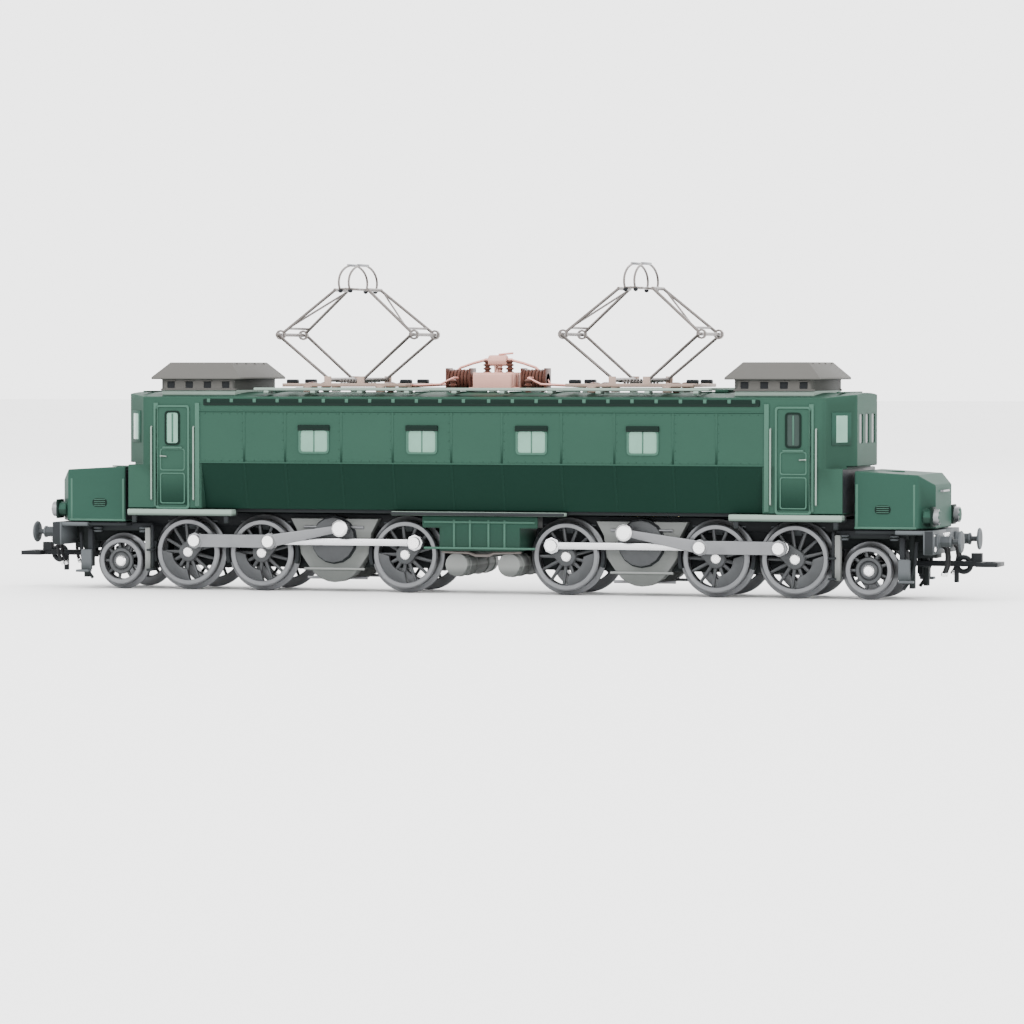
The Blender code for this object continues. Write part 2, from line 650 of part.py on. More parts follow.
def motor_and_shafts():
    half = MOTOR_HALF_LENGTH
    can = bar((-half, 0, MOTOR_Z), (half, 0, MOTOR_Z), MOTOR_RADIUS, ROUND)
    flat = MOTOR_RADIUS - 0.9
    reach = half + 1
    low, high = MOTOR_Z - 2 * MOTOR_RADIUS, MOTOR_Z + 2 * MOTOR_RADIUS
    sides = SIDES.values()
    flats = [block((-reach, reach), (side * flat, side * high), (low, high)) for side in sides]
    bore = bar((-half - 1, 0, MOTOR_Z), (half + 1, 0, MOTOR_Z), MOTOR_SHAFT_RADIUS + RUN)
    node("motor", carve(can, *flats, bore), "motor_metal")

    axle = (0, 0, MOTOR_Z)
    fly = -(half + FLYWHEEL_GAP)
    shaft = turned(
        [
            (0, fly - FLYWHEEL_WIDTH - 1.5),
            (MOTOR_SHAFT_RADIUS, fly - FLYWHEEL_WIDTH - 1.5),
            (MOTOR_SHAFT_RADIUS, fly - FLYWHEEL_WIDTH),
            (FLYWHEEL_RADIUS, fly - FLYWHEEL_WIDTH),
            (FLYWHEEL_RADIUS, fly),
            (MOTOR_SHAFT_RADIUS, fly),
            (MOTOR_SHAFT_RADIUS, half + 0.6),
            (MOTOR_SHAFT_RADIUS + 0.9, half + 0.6),
            (MOTOR_SHAFT_RADIUS + 0.9, half + 2.0),
            (0, half + 2.0),
        ],
        "x",
        axle,
        SMALL_ROUND,
    )
    node("motor_shaft", shaft, "motor_metal", axle)

    start = Vector((half + 2.0 + GAP + CARDAN_BALL_RADIUS, 0, MOTOR_Z - 0.3))
    stop = Vector((JACKSHAFT_X - WORM_SHAFT_HALF_LENGTH - GAP - CARDAN_BALL_RADIUS, 0, WORM_Z + 0.5))
    rod = bar(start, stop, CARDAN_RADIUS, 8)
    balls = [ball(start, CARDAN_BALL_RADIUS), ball(stop, CARDAN_BALL_RADIUS)]
    node("cardan_shaft", fuse(rod, *balls), "rod_steel", (start + stop) / 2)

    reach = WORM_SHAFT_HALF_LENGTH
    centre = (JACKSHAFT_X, 0, WORM_Z)
    worm = turned(
        [
            (0, -reach),
            (MOTOR_SHAFT_RADIUS, -reach),
            (MOTOR_SHAFT_RADIUS, -reach + 2.4),
            (WORM_RADIUS, -reach + 2.4),
            (WORM_RADIUS, reach - 2.4),
            (MOTOR_SHAFT_RADIUS, reach - 2.4),
            (MOTOR_SHAFT_RADIUS, reach),
            (0, reach),
        ],
        "x",
        centre,
        SMALL_ROUND,
    )
    return worm, centre


def underframe():
    top = BODY_BOTTOM - GAP - LEDGE_THICKNESS - 0.2
    bottom = top - TRANSFORMER_HEIGHT
    half, wide = TRANSFORMER_HALF_LENGTH, BODY_HALF_WIDTH_BELOW - 0.4
    box = block((-half, half), (-wide, wide), (bottom, top))
    wings = []
    for side in SIDES.values():
        reach = half + TRANSFORMER_WING
        sheet = (side * (wide - 0.7), side * wide)
        wings.append(block((-reach, reach), sheet, (top - 2.7, top)))
    node("transformer_box", fuse(box, *wings), "body_green")

    z = bottom - TANK_RADIUS - 0.5
    spread = TANK_SPACING / 2
    long = TANK_HALF_LENGTH
    tanks = [across(x, z, TANK_RADIUS, -long, long, 16) for x in (-spread, spread)]
    strap_top = bottom - GAP
    strap = block((-spread, spread), (-1.5, 1.5), (z + TANK_RADIUS - 1.2, strap_top))
    node("air_tanks", fuse(strap, *tanks), "frame_grey")


# --- Roof ---------------------------------------------------------------------------


def roof_height(y):
    """The roof's top surface at a distance from the middle."""
    return CROWN - ROOF_RISE * (y / BODY_HALF_WIDTH) ** 2


def walkway(side_name):
    side = SIDES[side_name]
    inner, outer = WALKWAY_Y - WALKWAY_HALF_WIDTH, WALKWAY_Y + WALKWAY_HALF_WIDTH
    low = WALKWAY_TOP - WALKWAY_THICKNESS
    reach = WALKWAY_HALF_LENGTH
    board = block((-reach, reach), (side * inner, side * outer), (low, WALKWAY_TOP))
    posts = []
    for i in range(WALKWAY_POSTS):
        x = reach * 0.96 * (2 * i / (WALKWAY_POSTS - 1) - 1)
        span = (roof_height(inner + 0.6) + GAP, low + 0.2)
        posts.append(block((x - 0.6, x + 0.6), (side * (inner + 0.6), side * (outer - 0.6)), span))
    node("roof_walkway_" + side_name, fuse(board, *posts), "roof_grey")


def resistor_housing(end_name):
    x = ENDS[end_name] * RESISTOR_X
    half, wide = RESISTOR_HALF_LENGTH, RESISTOR_HALF_WIDTH
    low = CROWN + GAP
    rim = low + RESISTOR_HEIGHT
    box = block((x - half, x + half), (-wide, wide), (low, rim + 0.2))
    slots = []
    pitch = 2 * half / RESISTOR_SLOTS
    for i in range(RESISTOR_SLOTS):
        centre = x - half + pitch * (i + 0.5)
        for side in SIDES.values():
            depth = (side * (wide - 1.2), side * (wide + 1))
            slots.append(block((centre - 0.9, centre + 0.9), depth, (low + 0.6, rim - 0.4)))
    long, broad = half + RESISTOR_OVERHANG, wide + RESISTOR_OVERHANG
    rise, slope = RESISTOR_COVER_RISE, RESISTOR_COVER_SLOPE
    base = rim + RESISTOR_COVER_RIM
    along = [(x - long, rim), (x + long, rim), (x + long, base)]
    along += [(x + long - slope, rim + rise), (x - long + slope, rim + rise), (x - long, base)]
    cover = plate(along, "xz", -broad, broad)
    trims = []
    for side in SIDES.values():
        above = rim + rise + 3
        lean = slope * (above - base) / (rim + rise - base)
        wedge = [(broad, base), (broad + 3, base), (broad + 3, above), (broad - lean, above)]
        points = [(side * y, z) for y, z in wedge]
        if side < 0:
            points.reverse()
        trims.append(plate(points, "yz", x - long - 2, x + long + 2))
    housing = fuse(carve(box, *slots), carve(cover, *trims))
    node("resistor_housing_" + end_name, housing, "roof_grey")


def switchgear():
    low = CROWN + GAP
    half, wide = SWITCH_HALF_LENGTH, SWITCH_HALF_WIDTH
    base = block((-half, half), (-wide, wide), (low, SWITCH_TOP))
    stem = upright(0, 0, 1.0, SWITCH_TOP - 0.3, SWITCH_TOP + 2.4)
    top = bar((-2.2, 0, SWITCH_TOP + 3.0), (2.2, 0, SWITCH_TOP + 3.0), 1.3)
    node("main_switch", fuse(base, stem, top), "insulator_brown")
    for end_name, end in ENDS.items():
        x, reach = end * CHOKE_X, CHOKE_HALF_LENGTH
        z = low + 0.4 + CHOKE_RADIUS
        core = bar((x - reach, 0, z), (x + reach, 0, z), CHOKE_RADIUS - 0.5)
        ribs = []
        for i in range(4):
            centre = x - reach + 0.75 + i * (2 * reach - 1.5) / 3
            ribs.append(bar((centre - 0.45, 0, z), (centre + 0.45, 0, z), CHOKE_RADIUS))
        foot = block((x - 2, x + 2), (-1.4, 1.4), (low, z))
        node("choke_coil_" + end_name, fuse(core, foot, *ribs), "insulator_brown")


# --- Pantographs --------------------------------------------------------------------


def pantograph_base(end_name):
    x = ENDS[end_name] * PANTOGRAPH_X
    reach = BASE_HALF_LENGTH
    rail_y = PIVOT_HALF_WIDTH + 0.4 + GAP
    top = PIVOT_Z - PIVOT_TUBE_RADIUS - GAP
    low = top - BASE_RAIL
    pieces = []
    for side in SIDES.values():
        outer = side * (rail_y + BASE_RAIL)
        pieces.append(block((x - reach, x + reach), (side * rail_y, outer), (low, top)))
        for place in (-PIVOT_HALF_SPACING, PIVOT_HALF_SPACING):
            ear_x = (x + place - 0.8, x + place + 0.8)
            pieces.append(block(ear_x, (side * rail_y, outer), (low, PIVOT_Z + 0.8)))
            foot_y = side * (rail_y + BASE_RAIL / 2)
            foot = (roof_height(rail_y) + GAP, low + 0.2)
            pieces.append(upright(x + place * 2.2, foot_y, 1.1, *foot, 10))
    for place in (-reach + 0.5, -PIVOT_HALF_SPACING * 1.8, PIVOT_HALF_SPACING * 1.8, reach - 0.5):
        sill = (-rail_y - 0.4, rail_y + 0.4)
        pieces.append(block((x + place - 0.5, x + place + 0.5), sill, (low, top)))
    node("pantograph_base_" + end_name, fuse(*pieces), "wire_grey")


def lower_arm(end_name, place_name, side_x):
    x = ENDS[end_name] * PANTOGRAPH_X + side_x * PIVOT_HALF_SPACING
    knee = (x + side_x * KNEE_DX, PIVOT_Z + KNEE_DZ)
    wide = PIVOT_HALF_WIDTH
    pieces = [across(x, PIVOT_Z, PIVOT_TUBE_RADIUS, -wide - 0.4, wide + 0.4, 8)]
    pieces.append(across(*knee, ARM_TUBE_RADIUS + 0.05, -KNEE_HALF_WIDTH - 0.7, KNEE_HALF_WIDTH + 0.7, 8))
    for side in SIDES.values():
        start = (x, side * (wide - 0.4), PIVOT_Z)
        stop = (knee[0], side * KNEE_HALF_WIDTH, knee[1])
        pieces.append(bar(start, stop, ARM_TUBE_RADIUS, 8))
    name = f"pantograph_lower_arm_{end_name}_{place_name}"
    node(name, fuse(*pieces), "wire_grey", (x, 0, PIVOT_Z))


def upper_arm(end_name, place_name, side_x):
    x = ENDS[end_name] * PANTOGRAPH_X + side_x * PIVOT_HALF_SPACING
    knee = Vector((x + side_x * KNEE_DX, 0, PIVOT_Z + KNEE_DZ))
    top = Vector((x, 0, TOP_Z))
    radius = ARM_TUBE_RADIUS
    pieces = [across(x, TOP_Z, radius + 0.05, -TOP_HALF_WIDTH - 0.4, TOP_HALF_WIDTH + 0.4, 8)]
    holes = []
    along = (top - knee).normalized()
    for side in SIDES.values():
        eye = side * KNEE_EYE_Y
        pieces.append(across(knee.x, knee.z, 1.15, eye - 0.5, eye + 0.5, 10))
        holes.append(across(knee.x, knee.z, 0.75, eye - 1, eye + 1, 10))
        start = knee + along * 0.95 + Vector((0, eye, 0))
        pieces.append(bar(start, (top.x, side * TOP_HALF_WIDTH, top.z), radius, 8))
    low, high = knee.lerp(top, 0.18), knee.lerp(top, 0.94)
    brace_low = Vector((low.x, -KNEE_EYE_Y + 0.5, low.z))
    brace_high = Vector((high.x, TOP_HALF_WIDTH, high.z))
    pieces.append(bar(brace_low, brace_high, radius * 0.7, 6))
    rung = knee.lerp(top, 0.14)
    rung_y = KNEE_EYE_Y - 0.14 * (KNEE_EYE_Y - TOP_HALF_WIDTH)
    pieces.append(across(rung.x, rung.z, radius * 0.8, -rung_y, rung_y, 6))
    arm = carve(fuse(*pieces), *holes)
    name = f"pantograph_upper_arm_{end_name}_{place_name}"
    node(name, arm, "wire_grey", (knee.x, 0, knee.z))


def collector_outline(width, rise, drop, thickness):
    """A flat-topped bow with ends that turn down, as (y, z) points."""
    flat = width - drop
    outer = [(-width, rise - drop), (-flat - drop * 0.3, rise - drop * 0.3), (-flat, rise)]
    outer += [(-y, z) for y, z in reversed(outer)]
    inner = [(y * (1 - thickness / width), z - thickness) for y, z in reversed(outer)]
    return inner + outer


def collector(end_name):
    x = ENDS[end_name] * PANTOGRAPH_X
    spread = PIVOT_HALF_SPACING
    side_y = TOP_HALF_WIDTH + 0.4 + GAP
    crest = TOP_Z + COLLECTOR_RISE
    pieces = []
    for side in SIDES.values():
        span = (side * side_y, side * (side_y + 0.6))
        plate_x = (x - spread - 0.5, x + spread + 0.5)
        pieces.append(block(plate_x, span, (TOP_Z - 0.5, TOP_Z + 0.5)))
        foot = (x, side * (side_y + 0.3), TOP_Z)
        pieces.append(bar(foot, (x, side * (side_y + 0.3), crest - 0.5), 0.24, 6))
    for place in (-COLLECTOR_SPACING, COLLECTOR_SPACING):
        outline = collector_outline(COLLECTOR_HALF_WIDTH, crest, COLLECTOR_DROP, 0.7)
        pieces.append(plate(outline, "yz", x + place - 0.35, x + place + 0.35))
    for y in (-side_y - 0.3, side_y + 0.3):
        tie = (x - COLLECTOR_SPACING - 0.2, x + COLLECTOR_SPACING + 0.2)
        pieces.append(block(tie, (y - 0.4, y + 0.4), (crest - 0.9, crest - 0.2)))
    name = "pantograph_head_" + end_name
    pivot = (x + ENDS[end_name] * spread, 0, TOP_Z)
    node(name, fuse(*pieces), "wire_grey", pivot)


def pantograph(end_name):
    end = ENDS[end_name]
    pantograph_base(end_name)
    for place_name, side_x in (("outer", end), ("inner", -end)):
        lower_arm(end_name, place_name, side_x)
        upper_arm(end_name, place_name, side_x)
    collector(end_name)


# --- Bogies -------------------------------------------------------------------------


def crank(end_name, side_name):
    """The offset from an axle to its crank pin, as (x, z)."""
    angle = math.radians(CRANK_ANGLE[end_name, side_name])
    return CRANK_THROW * math.cos(angle), CRANK_THROW * math.sin(angle)


def crank_pin(end_name, side_name, x, z, reach):
    """Boss, pin and head in one, for a wheel's or jackshaft's outer face."""
    dx, dz = crank(end_name, side_name)
    boss, root, crest, head = PIN_RADIUS + 0.8, WHEEL_OUTER - 0.3, WHEEL_OUTER + BOSS, reach + GAP
    profile = [
        (0, root),
        (boss, root),
        (boss, crest),
        (PIN_RADIUS, crest),
        (PIN_RADIUS, head),
        (PIN_HEAD_RADIUS, head),
        (PIN_HEAD_RADIUS, head + PIN_HEAD_THICKNESS),
        (0, head + PIN_HEAD_THICKNESS),
    ]
    if SIDES[side_name] < 0:
        profile = [(radius, -along) for radius, along in reversed(profile)]
    return turned(profile, "y", (x + dx, 0, z + dz), SMALL_ROUND)


def wheelset_profile(radius, cap):
    inner, outer = WHEEL_INNER, WHEEL_OUTER
    half = [
        (0, outer + cap),
        (1.6, outer + cap),
        (1.6, outer),
        (radius, outer),
        (radius, inner + FLANGE_WIDTH),
        (radius + FLANGE, inner + FLANGE_WIDTH * 0.6),
        (radius + FLANGE, inner),
        (AXLE_RADIUS, inner),
    ]
    return [(r, -y) for r, y in half] + [(r, y) for r, y in reversed(half)]


def rod_reach(layer):
    return ROD_Y[layer] + ROD_WIDTH[layer]


def driver(end_name, axle_name, parent):
    x = ENDS[end_name] * DRIVER_X[axle_name]
    centre = (x, 0, DRIVER_Z)
    wheels = turned(wheelset_profile(DRIVER_RADIUS, 0.25), "y", centre)
    layer = "inner" if axle_name == "inner" else "outer"
    pins = []
    for side_name in SIDES:
        pins.append(crank_pin(end_name, side_name, x, DRIVER_Z, rod_reach(layer)))
    node(f"driver_{end_name}_{axle_name}", fuse(wheels, *pins), "wheel_grey", centre, parent)


def jackshaft(end_name, parent):
    x = ENDS[end_name] * JACKSHAFT_X
    centre = (x, 0, JACKSHAFT_Z)
    disc = CRANK_THROW + JACKSHAFT_CHEEK
    start = WHEEL_OUTER - 0.6
    half = [
        (0, WHEEL_OUTER),
        (disc, WHEEL_OUTER),
        (disc, start),
        (AXLE_RADIUS, start),
        (AXLE_RADIUS, 1.6),
        (JACKSHAFT_GEAR_RADIUS, 1.6),
    ]
    profile = [(r, -y) for r, y in half] + [(r, y) for r, y in reversed(half)]
    shaft = turned(profile, "y", centre)
    pins = []
    for side_name in SIDES:
        pins.append(crank_pin(end_name, side_name, x, JACKSHAFT_Z, rod_reach("outer")))
    node("jackshaft_" + end_name, fuse(shaft, *pins), "wheel_grey", centre, parent)


def side_rod(end_name, side_name, layer, parent):
    """The rod to the inner axle, or the plate rod to the outer axle and the jackshaft."""
    end, side = ENDS[end_name], SIDES[side_name]
    dx, dz = crank(end_name, side_name)
    span = (side * ROD_Y[layer], side * rod_reach(layer))
    low_z, jack_z = DRIVER_Z + dz, JACKSHAFT_Z + dz
    middle = end * DRIVER_X["middle"] + dx
    far = end * DRIVER_X[layer] + dx
    jack = end * JACKSHAFT_X + dx
    half, deep = ROD_DEPTH / 2, PLATE_ROD_DEPTH / 2
    pins = [(middle, low_z), (far, low_z)]
    shape = [(middle, low_z - half), (middle, low_z + half), (far, low_z + half), (far, low_z - half)]
    if layer == "outer":
        pins.append((jack, jack_z))
        shape = [(far, low_z - deep), (far, low_z + deep), (middle, low_z + deep)]
        shape += [(jack, jack_z + half), (jack, jack_z - half), (middle, low_z - deep)]
    web_span = sorted((span[0] + side * ROD_WEB_INSET, span[1] - side * ROD_WEB_INSET))
    web = plate(shape, "xz", *web_span)
    eyes = [across(*pin, EYE_RADIUS, *span) for pin in pins]
    over = (span[0] - side, span[1] + side)
    holes = [across(*pin, PIN_RADIUS + RUN, *over) for pin in pins]
    rod = carve(fuse(web, *eyes), *holes)
    name = f"rod_{end_name}_{layer}_{side_name}"
    node(name, rod, "rod_steel", (far, (span[0] + span[1]) / 2, low_z), parent)


def bogie_frame(end_name, parent):
    end = ENDS[end_name]
    start = end * (INNER_AXLE_X - FRAME_INNER_OVERHANG)
    stop = end * (OUTER_AXLE_X + FRAME_OUTER_OVERHANG)
    bottom = DRIVER_Z - FRAME_BELOW_AXLES
    wide, nose, broad = WHEEL_INNER - FRAME_TO_WHEELS, NOSE_HALF_WIDTH, DECK_HALF_WIDTH
    deck = (DECK_BOTTOM, DECK_TOP)
    beam = (BUFFER_Z - BEAM_BELOW_BUFFERS, DECK_TOP)
    beam_x = (end * BEAM_X, end * BEAM_END_X)
    carrier_x = (end * (COUPLER_PIVOT_X - 2), end * (BEAM_X + 0.5))
    carrier_z = (COUPLER_Z + COUPLER_THICKNESS + 0.6, NOSE_BOTTOM + 0.5)
    pony_pin = (PONY_Z - PONY_FRAME_DEPTH / 2, NOSE_BOTTOM + 0.5)
    pieces = [
        block((start, stop), (-wide, wide), (bottom, FRAME_TOP)),
        block((stop - end, end * BEAM_X), (-nose, nose), (NOSE_BOTTOM, FRAME_TOP)),
        block((end * HOOD_X, end * BEAM_X), (-broad, broad), deck),
        block(beam_x, (-BEAM_HALF_WIDTH, BEAM_HALF_WIDTH), beam),
        block(carrier_x, (-2.5, 2.5), carrier_z),
        upright(end * COUPLER_PIVOT_X, 0, COUPLER_PIN_RADIUS, COUPLER_Z - 0.4, NOSE_BOTTOM),
        upright(end * PONY_PIVOT_X, 0, PONY_PIN_RADIUS, *pony_pin),
    ]
    guard_x = end * (BEAM_X - GUARD_IRON_SETBACK)
    for side in SIDES.values():
        guard_y = (side * (WHEEL_INNER - 0.4), side * (WHEEL_INNER + 1.2))
        guard_z = (FLANGE + 1.5, FRAME_TOP)
        pieces.append(block((guard_x, guard_x + end * GUARD_IRON_THICKNESS), guard_y, guard_z))
        case = (side * (wide - 0.4), side * (WHEEL_OUTER - 0.6 - GAP))
        pieces.append(across(end * JACKSHAFT_X, JACKSHAFT_Z, GEAR_CASE_RADIUS, *case, ROUND))
    if end_name == "front":
        for place in (-1, 1):
            near = JACKSHAFT_X + place * (JACKSHAFT_GEAR_RADIUS + RUN)
            ear_y = (-WORM_BRACKET_HALF_WIDTH, WORM_BRACKET_HALF_WIDTH)
            pieces.append(block((near, near + place), ear_y, (FRAME_TOP - 0.5, WORM_Z + 1.7)))
    frame = fuse(*pieces)
    slot = GEAR_SLOT_HALF_LENGTH
    slot_x = (end * (JACKSHAFT_X - slot), end * (JACKSHAFT_X + slot))
    slot_y = (-GEAR_SLOT_HALF_WIDTH, GEAR_SLOT_HALF_WIDTH)
    pivot_hole = (FRAME_TOP - BOGIE_PIVOT_DEPTH - GAP, FRAME_TOP + 2)
    cuts = [
        block(slot_x, slot_y, (bottom + 1.2, FRAME_TOP)),
        upright(end * BOGIE_PIVOT_X, 0, BOGIE_PIVOT_RADIUS + RUN, *pivot_hole),
        across(end * JACKSHAFT_X, JACKSHAFT_Z, AXLE_RADIUS + RUN, -20, 20),
    ]
    for x in DRIVER_X.values():
        cuts.append(across(end * x, DRIVER_Z, AXLE_RADIUS + RUN, -20, 20))
    if end_name == "front":
        reach = WORM_SHAFT_HALF_LENGTH + 1
        start, stop = (JACKSHAFT_X - reach, 0, WORM_Z), (JACKSHAFT_X + reach, 0, WORM_Z)
        cuts.append(bar(start, stop, MOTOR_SHAFT_RADIUS + RUN))
    pivot = (end * BOGIE_PIVOT_X, 0, 0)
    node("bogie_frame_" + end_name, carve(frame, *cuts), "frame_grey", pivot, parent)


def hood_block(end, inset):
    """A hood's outer form, or its inner space when it is inset by the wall."""
    bottom = HOOD_BOTTOM - (2 if inset else 0)
    back, front = HOOD_X + inset, HOOD_FRONT_X - inset
    top = HOOD_TOP - inset
    shoulder = top - HOOD_FRONT_DROP
    bevel_x = front - HOOD_BEVEL
    side_view = [(back, bottom), (back, top), (bevel_x, shoulder)]
    side_view += [(front, shoulder - HOOD_BEVEL_DROP), (front, bottom)]
    wide = HOOD_HALF_WIDTH - inset
    form = plate([(end * x, z) for x, z in side_view], "xz", -wide, wide)
    corner_x, corner_y = HOOD_CORNER
    wedges = []
    for side in SIDES.values():
        outline = [
            (front - corner_x * 1.5, wide + corner_y * 0.5),
            (front + corner_x * 0.5, wide - corner_y * 1.5),
            (front + corner_x, wide + corner_y),
        ]
        wedges.append(plate([(end * x, side * y) for x, y in outline], "xy", 0, HOOD_TOP + 5))
    return carve(form, *wedges)


def hood(end_name, parent):
    end = ENDS[end_name]
    shell = carve(hood_block(end, 0.0), hood_block(end, HOOD_WALL))
    lamps = []
    for side in SIDES.values():
        start = (end * (HOOD_FRONT_X - 2.1), side * LAMP_Y, LAMP_Z)
        stop = (end * (HOOD_FRONT_X + LAMP_REACH), side * LAMP_Y, LAMP_Z)
        lamps.append(bar(start, stop, LAMP_RADIUS))
    node("hood_" + end_name, fuse(shell, *lamps), "body_green", (end * BOGIE_PIVOT_X, 0, 0), parent)


def buffer(end_name, side_name, parent):
    end = ENDS[end_name]
    centre = (end * (BEAM_END_X + GAP), SIDES[side_name] * BUFFER_Y, BUFFER_Z)
    head = BUFFER_LENGTH - BUFFER_HEAD_THICKNESS
    profile = [
        (0, 0),
        (2.0, 0),
        (2.0, 0.6),
        (1.5, 0.6),
        (1.5, BUFFER_LENGTH * 0.55),
        (0.9, BUFFER_LENGTH * 0.55),
        (0.9, head),
        (BUFFER_HEAD_RADIUS, head),
        (BUFFER_HEAD_RADIUS, BUFFER_LENGTH),
        (0, BUFFER_LENGTH),
    ]
    profile = [(r, end * along) for r, along in profile]
    shape = turned(profile, "x", centre, SMALL_ROUND)
    node(f"buffer_{end_name}_{side_name}", shape, "wheel_grey", centre, parent)


def coupler(end_name, parent):
    end = ENDS[end_name]
    low, high = COUPLER_Z, COUPLER_Z + COUPLER_THICKNESS
    length, width = COUPLER_LOOP
    loop_x = COUPLER_TIP_X - length
    edge = COUPLER_LOOP_BAR
    shank = block((end * (COUPLER_PIVOT_X - 1.8), end * (loop_x + 0.5)), (-1.4, 1.4), (low, high))
    loop = block((end * loop_x, end * COUPLER_TIP_X), (-width / 2, width / 2), (low, high - 0.2))
    inner = (end * (loop_x + edge), end * (COUPLER_TIP_X - edge))
    loop = carve(loop, block(inner, (-width / 2 + edge, width / 2 - edge), (0, 20)))
    hook = block((end * (loop_x - 1.6), end * (loop_x + 0.8)), (-0.8, 0.8), (high - 0.2, high + 1.8))
    tail = block((end * (loop_x - 5.5), end * (loop_x - 4.5)), (-0.5, 0.5), (low - 3.6, low + 0.2))
    made = fuse(shank, loop, hook, tail)
    pivot = (end * COUPLER_PIVOT_X, 0, (low + high) / 2)
    hole = upright(pivot[0], 0, COUPLER_PIN_RADIUS + RUN, low - 1, high + 1)
    node("coupler_" + end_name, carve(made, hole), "coupler_black", pivot, parent)


def pony_truck(end_name, parent):
    end = ENDS[end_name]
    half = PONY_FRAME_DEPTH / 2
    wide = PONY_FRAME_HALF_WIDTH
    span = (end * (PONY_PIVOT_X - 1.8), end * (PONY_X + 3.4))
    frame = block(span, (-wide, wide), (PONY_Z - half, PONY_Z + half))
    holes = [
        upright(end * PONY_PIVOT_X, 0, PONY_PIN_RADIUS + RUN, 0, 20),
        across(end * PONY_X, PONY_Z, AXLE_RADIUS + RUN, -20, 20),
    ]
    pivot = (end * PONY_PIVOT_X, 0, PONY_Z)
    node("pony_frame_" + end_name, carve(frame, *holes), "frame_grey", pivot, parent)
    centre = (end * PONY_X, 0, PONY_Z)
    wheels = turned(wheelset_profile(PONY_RADIUS, 0.8), "y", centre)
    node("pony_wheelset_" + end_name, wheels, "wheel_grey", centre, parent)


def bogie(end_name):
    parent = pivot_empty("bogie_pivot_" + end_name, ENDS[end_name] * BOGIE_PIVOT_X)
    bogie_frame(end_name, parent)
    hood(end_name, parent)
    coupler(end_name, parent)
    pony_truck(end_name, parent)
    jackshaft(end_name, parent)
    for axle_name in DRIVER_X:
        driver(end_name, axle_name, parent)
    for side_name in SIDES:
        buffer(end_name, side_name, parent)
        for layer in ROD_Y:
            side_rod(end_name, side_name, layer, parent)
    return parent


def main():
    clear_scene()
    body_shell()
    chassis_frame()
    circuit_board()
    underframe()
    switchgear()
    for side_name in SIDES:
        glazing(side_name)
        walkway(side_name)
    for end_name in ENDS:
        resistor_housing(end_name)
        pantograph(end_name)
    pivots = {end_name: bogie(end_name) for end_name in ENDS}
    worm, centre = motor_and_shafts()
    node("worm", worm, "brass", centre, pivots["front"])


main()
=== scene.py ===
"""Looks of the model electric locomotive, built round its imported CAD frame.

Every sub-assembly is a class that holds its sizes in millimetres and builds its own meshes.
Places come from the frame: the boxes of the CAD nodes and the positions of the joints.
"""

import json
import logging
import math
from dataclasses import dataclass
from enum import Enum

import bmesh
import bpy
from mathutils import Matrix, Vector


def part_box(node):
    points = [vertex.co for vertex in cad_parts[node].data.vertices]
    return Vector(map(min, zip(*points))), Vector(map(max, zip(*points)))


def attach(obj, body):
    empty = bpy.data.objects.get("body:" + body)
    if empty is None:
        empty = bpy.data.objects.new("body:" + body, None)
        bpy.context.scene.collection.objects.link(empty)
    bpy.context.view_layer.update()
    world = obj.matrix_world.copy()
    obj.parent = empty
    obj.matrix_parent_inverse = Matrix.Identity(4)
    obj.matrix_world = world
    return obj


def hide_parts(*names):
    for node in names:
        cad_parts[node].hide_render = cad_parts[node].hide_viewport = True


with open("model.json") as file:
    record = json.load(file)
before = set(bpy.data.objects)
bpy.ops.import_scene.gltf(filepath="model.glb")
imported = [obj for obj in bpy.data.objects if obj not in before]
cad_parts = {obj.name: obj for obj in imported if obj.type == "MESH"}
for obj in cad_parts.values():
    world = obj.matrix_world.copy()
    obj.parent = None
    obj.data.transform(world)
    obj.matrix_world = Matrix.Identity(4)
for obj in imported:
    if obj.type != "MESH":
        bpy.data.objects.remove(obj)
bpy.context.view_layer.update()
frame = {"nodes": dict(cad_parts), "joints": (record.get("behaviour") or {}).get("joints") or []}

LOG = logging.getLogger("locomotive")
MM = 0.001
TURN = 2 * math.pi
SHARP = math.radians(35)
ENDS = {"front": 1, "rear": -1}
SIDES = {"near": -1, "far": 1}
AXES = {"x": Vector((1, 0, 0)), "y": Vector((0, 1, 0)), "z": Vector((0, 0, 1))}
JOINTS = {joint["name"]: joint for joint in frame["joints"]}
Span = tuple[float, float]
Outline = list[tuple[float, float]]


class Plane(Enum):
    """The plane that an outline is drawn in, as the matrix that lays it there."""

    YZ = Matrix(((0, 0, 1, 0), (1, 0, 0, 0), (0, 1, 0, 0), (0, 0, 0, 1)))
    XZ = Matrix(((1, 0, 0, 0), (0, 0, -1, 0), (0, 1, 0, 0), (0, 0, 0, 1)))


# --- Places in the frame ------------------------------------------------------------


def node_box(name: str) -> tuple[Vector, Vector]:
    """Lowest and highest corners of a CAD node, in millimetres."""
    low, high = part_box(name)
    return low / MM, high / MM


def joint_place(name: str) -> Vector:
    """Where a joint's axis stands, in millimetres."""
    return Vector(JOINTS[name]["pos_m"]) / MM


def arc(centre: tuple[float, float], radius: float, start: float, stop: float, steps: int) -> Outline:
    """Points along an arc.

    Args:
        centre: Middle of the arc.
        radius: Its radius.
        start: First angle in degrees.
        stop: Last angle in degrees.
        steps: How many points follow the first one.

    Returns:
        The points, the first and last included.
    """
    angles = [math.radians(start + (stop - start) * i / steps) for i in range(steps + 1)]
    return [(centre[0] + radius * math.cos(a), centre[1] + radius * math.sin(a)) for a in angles]


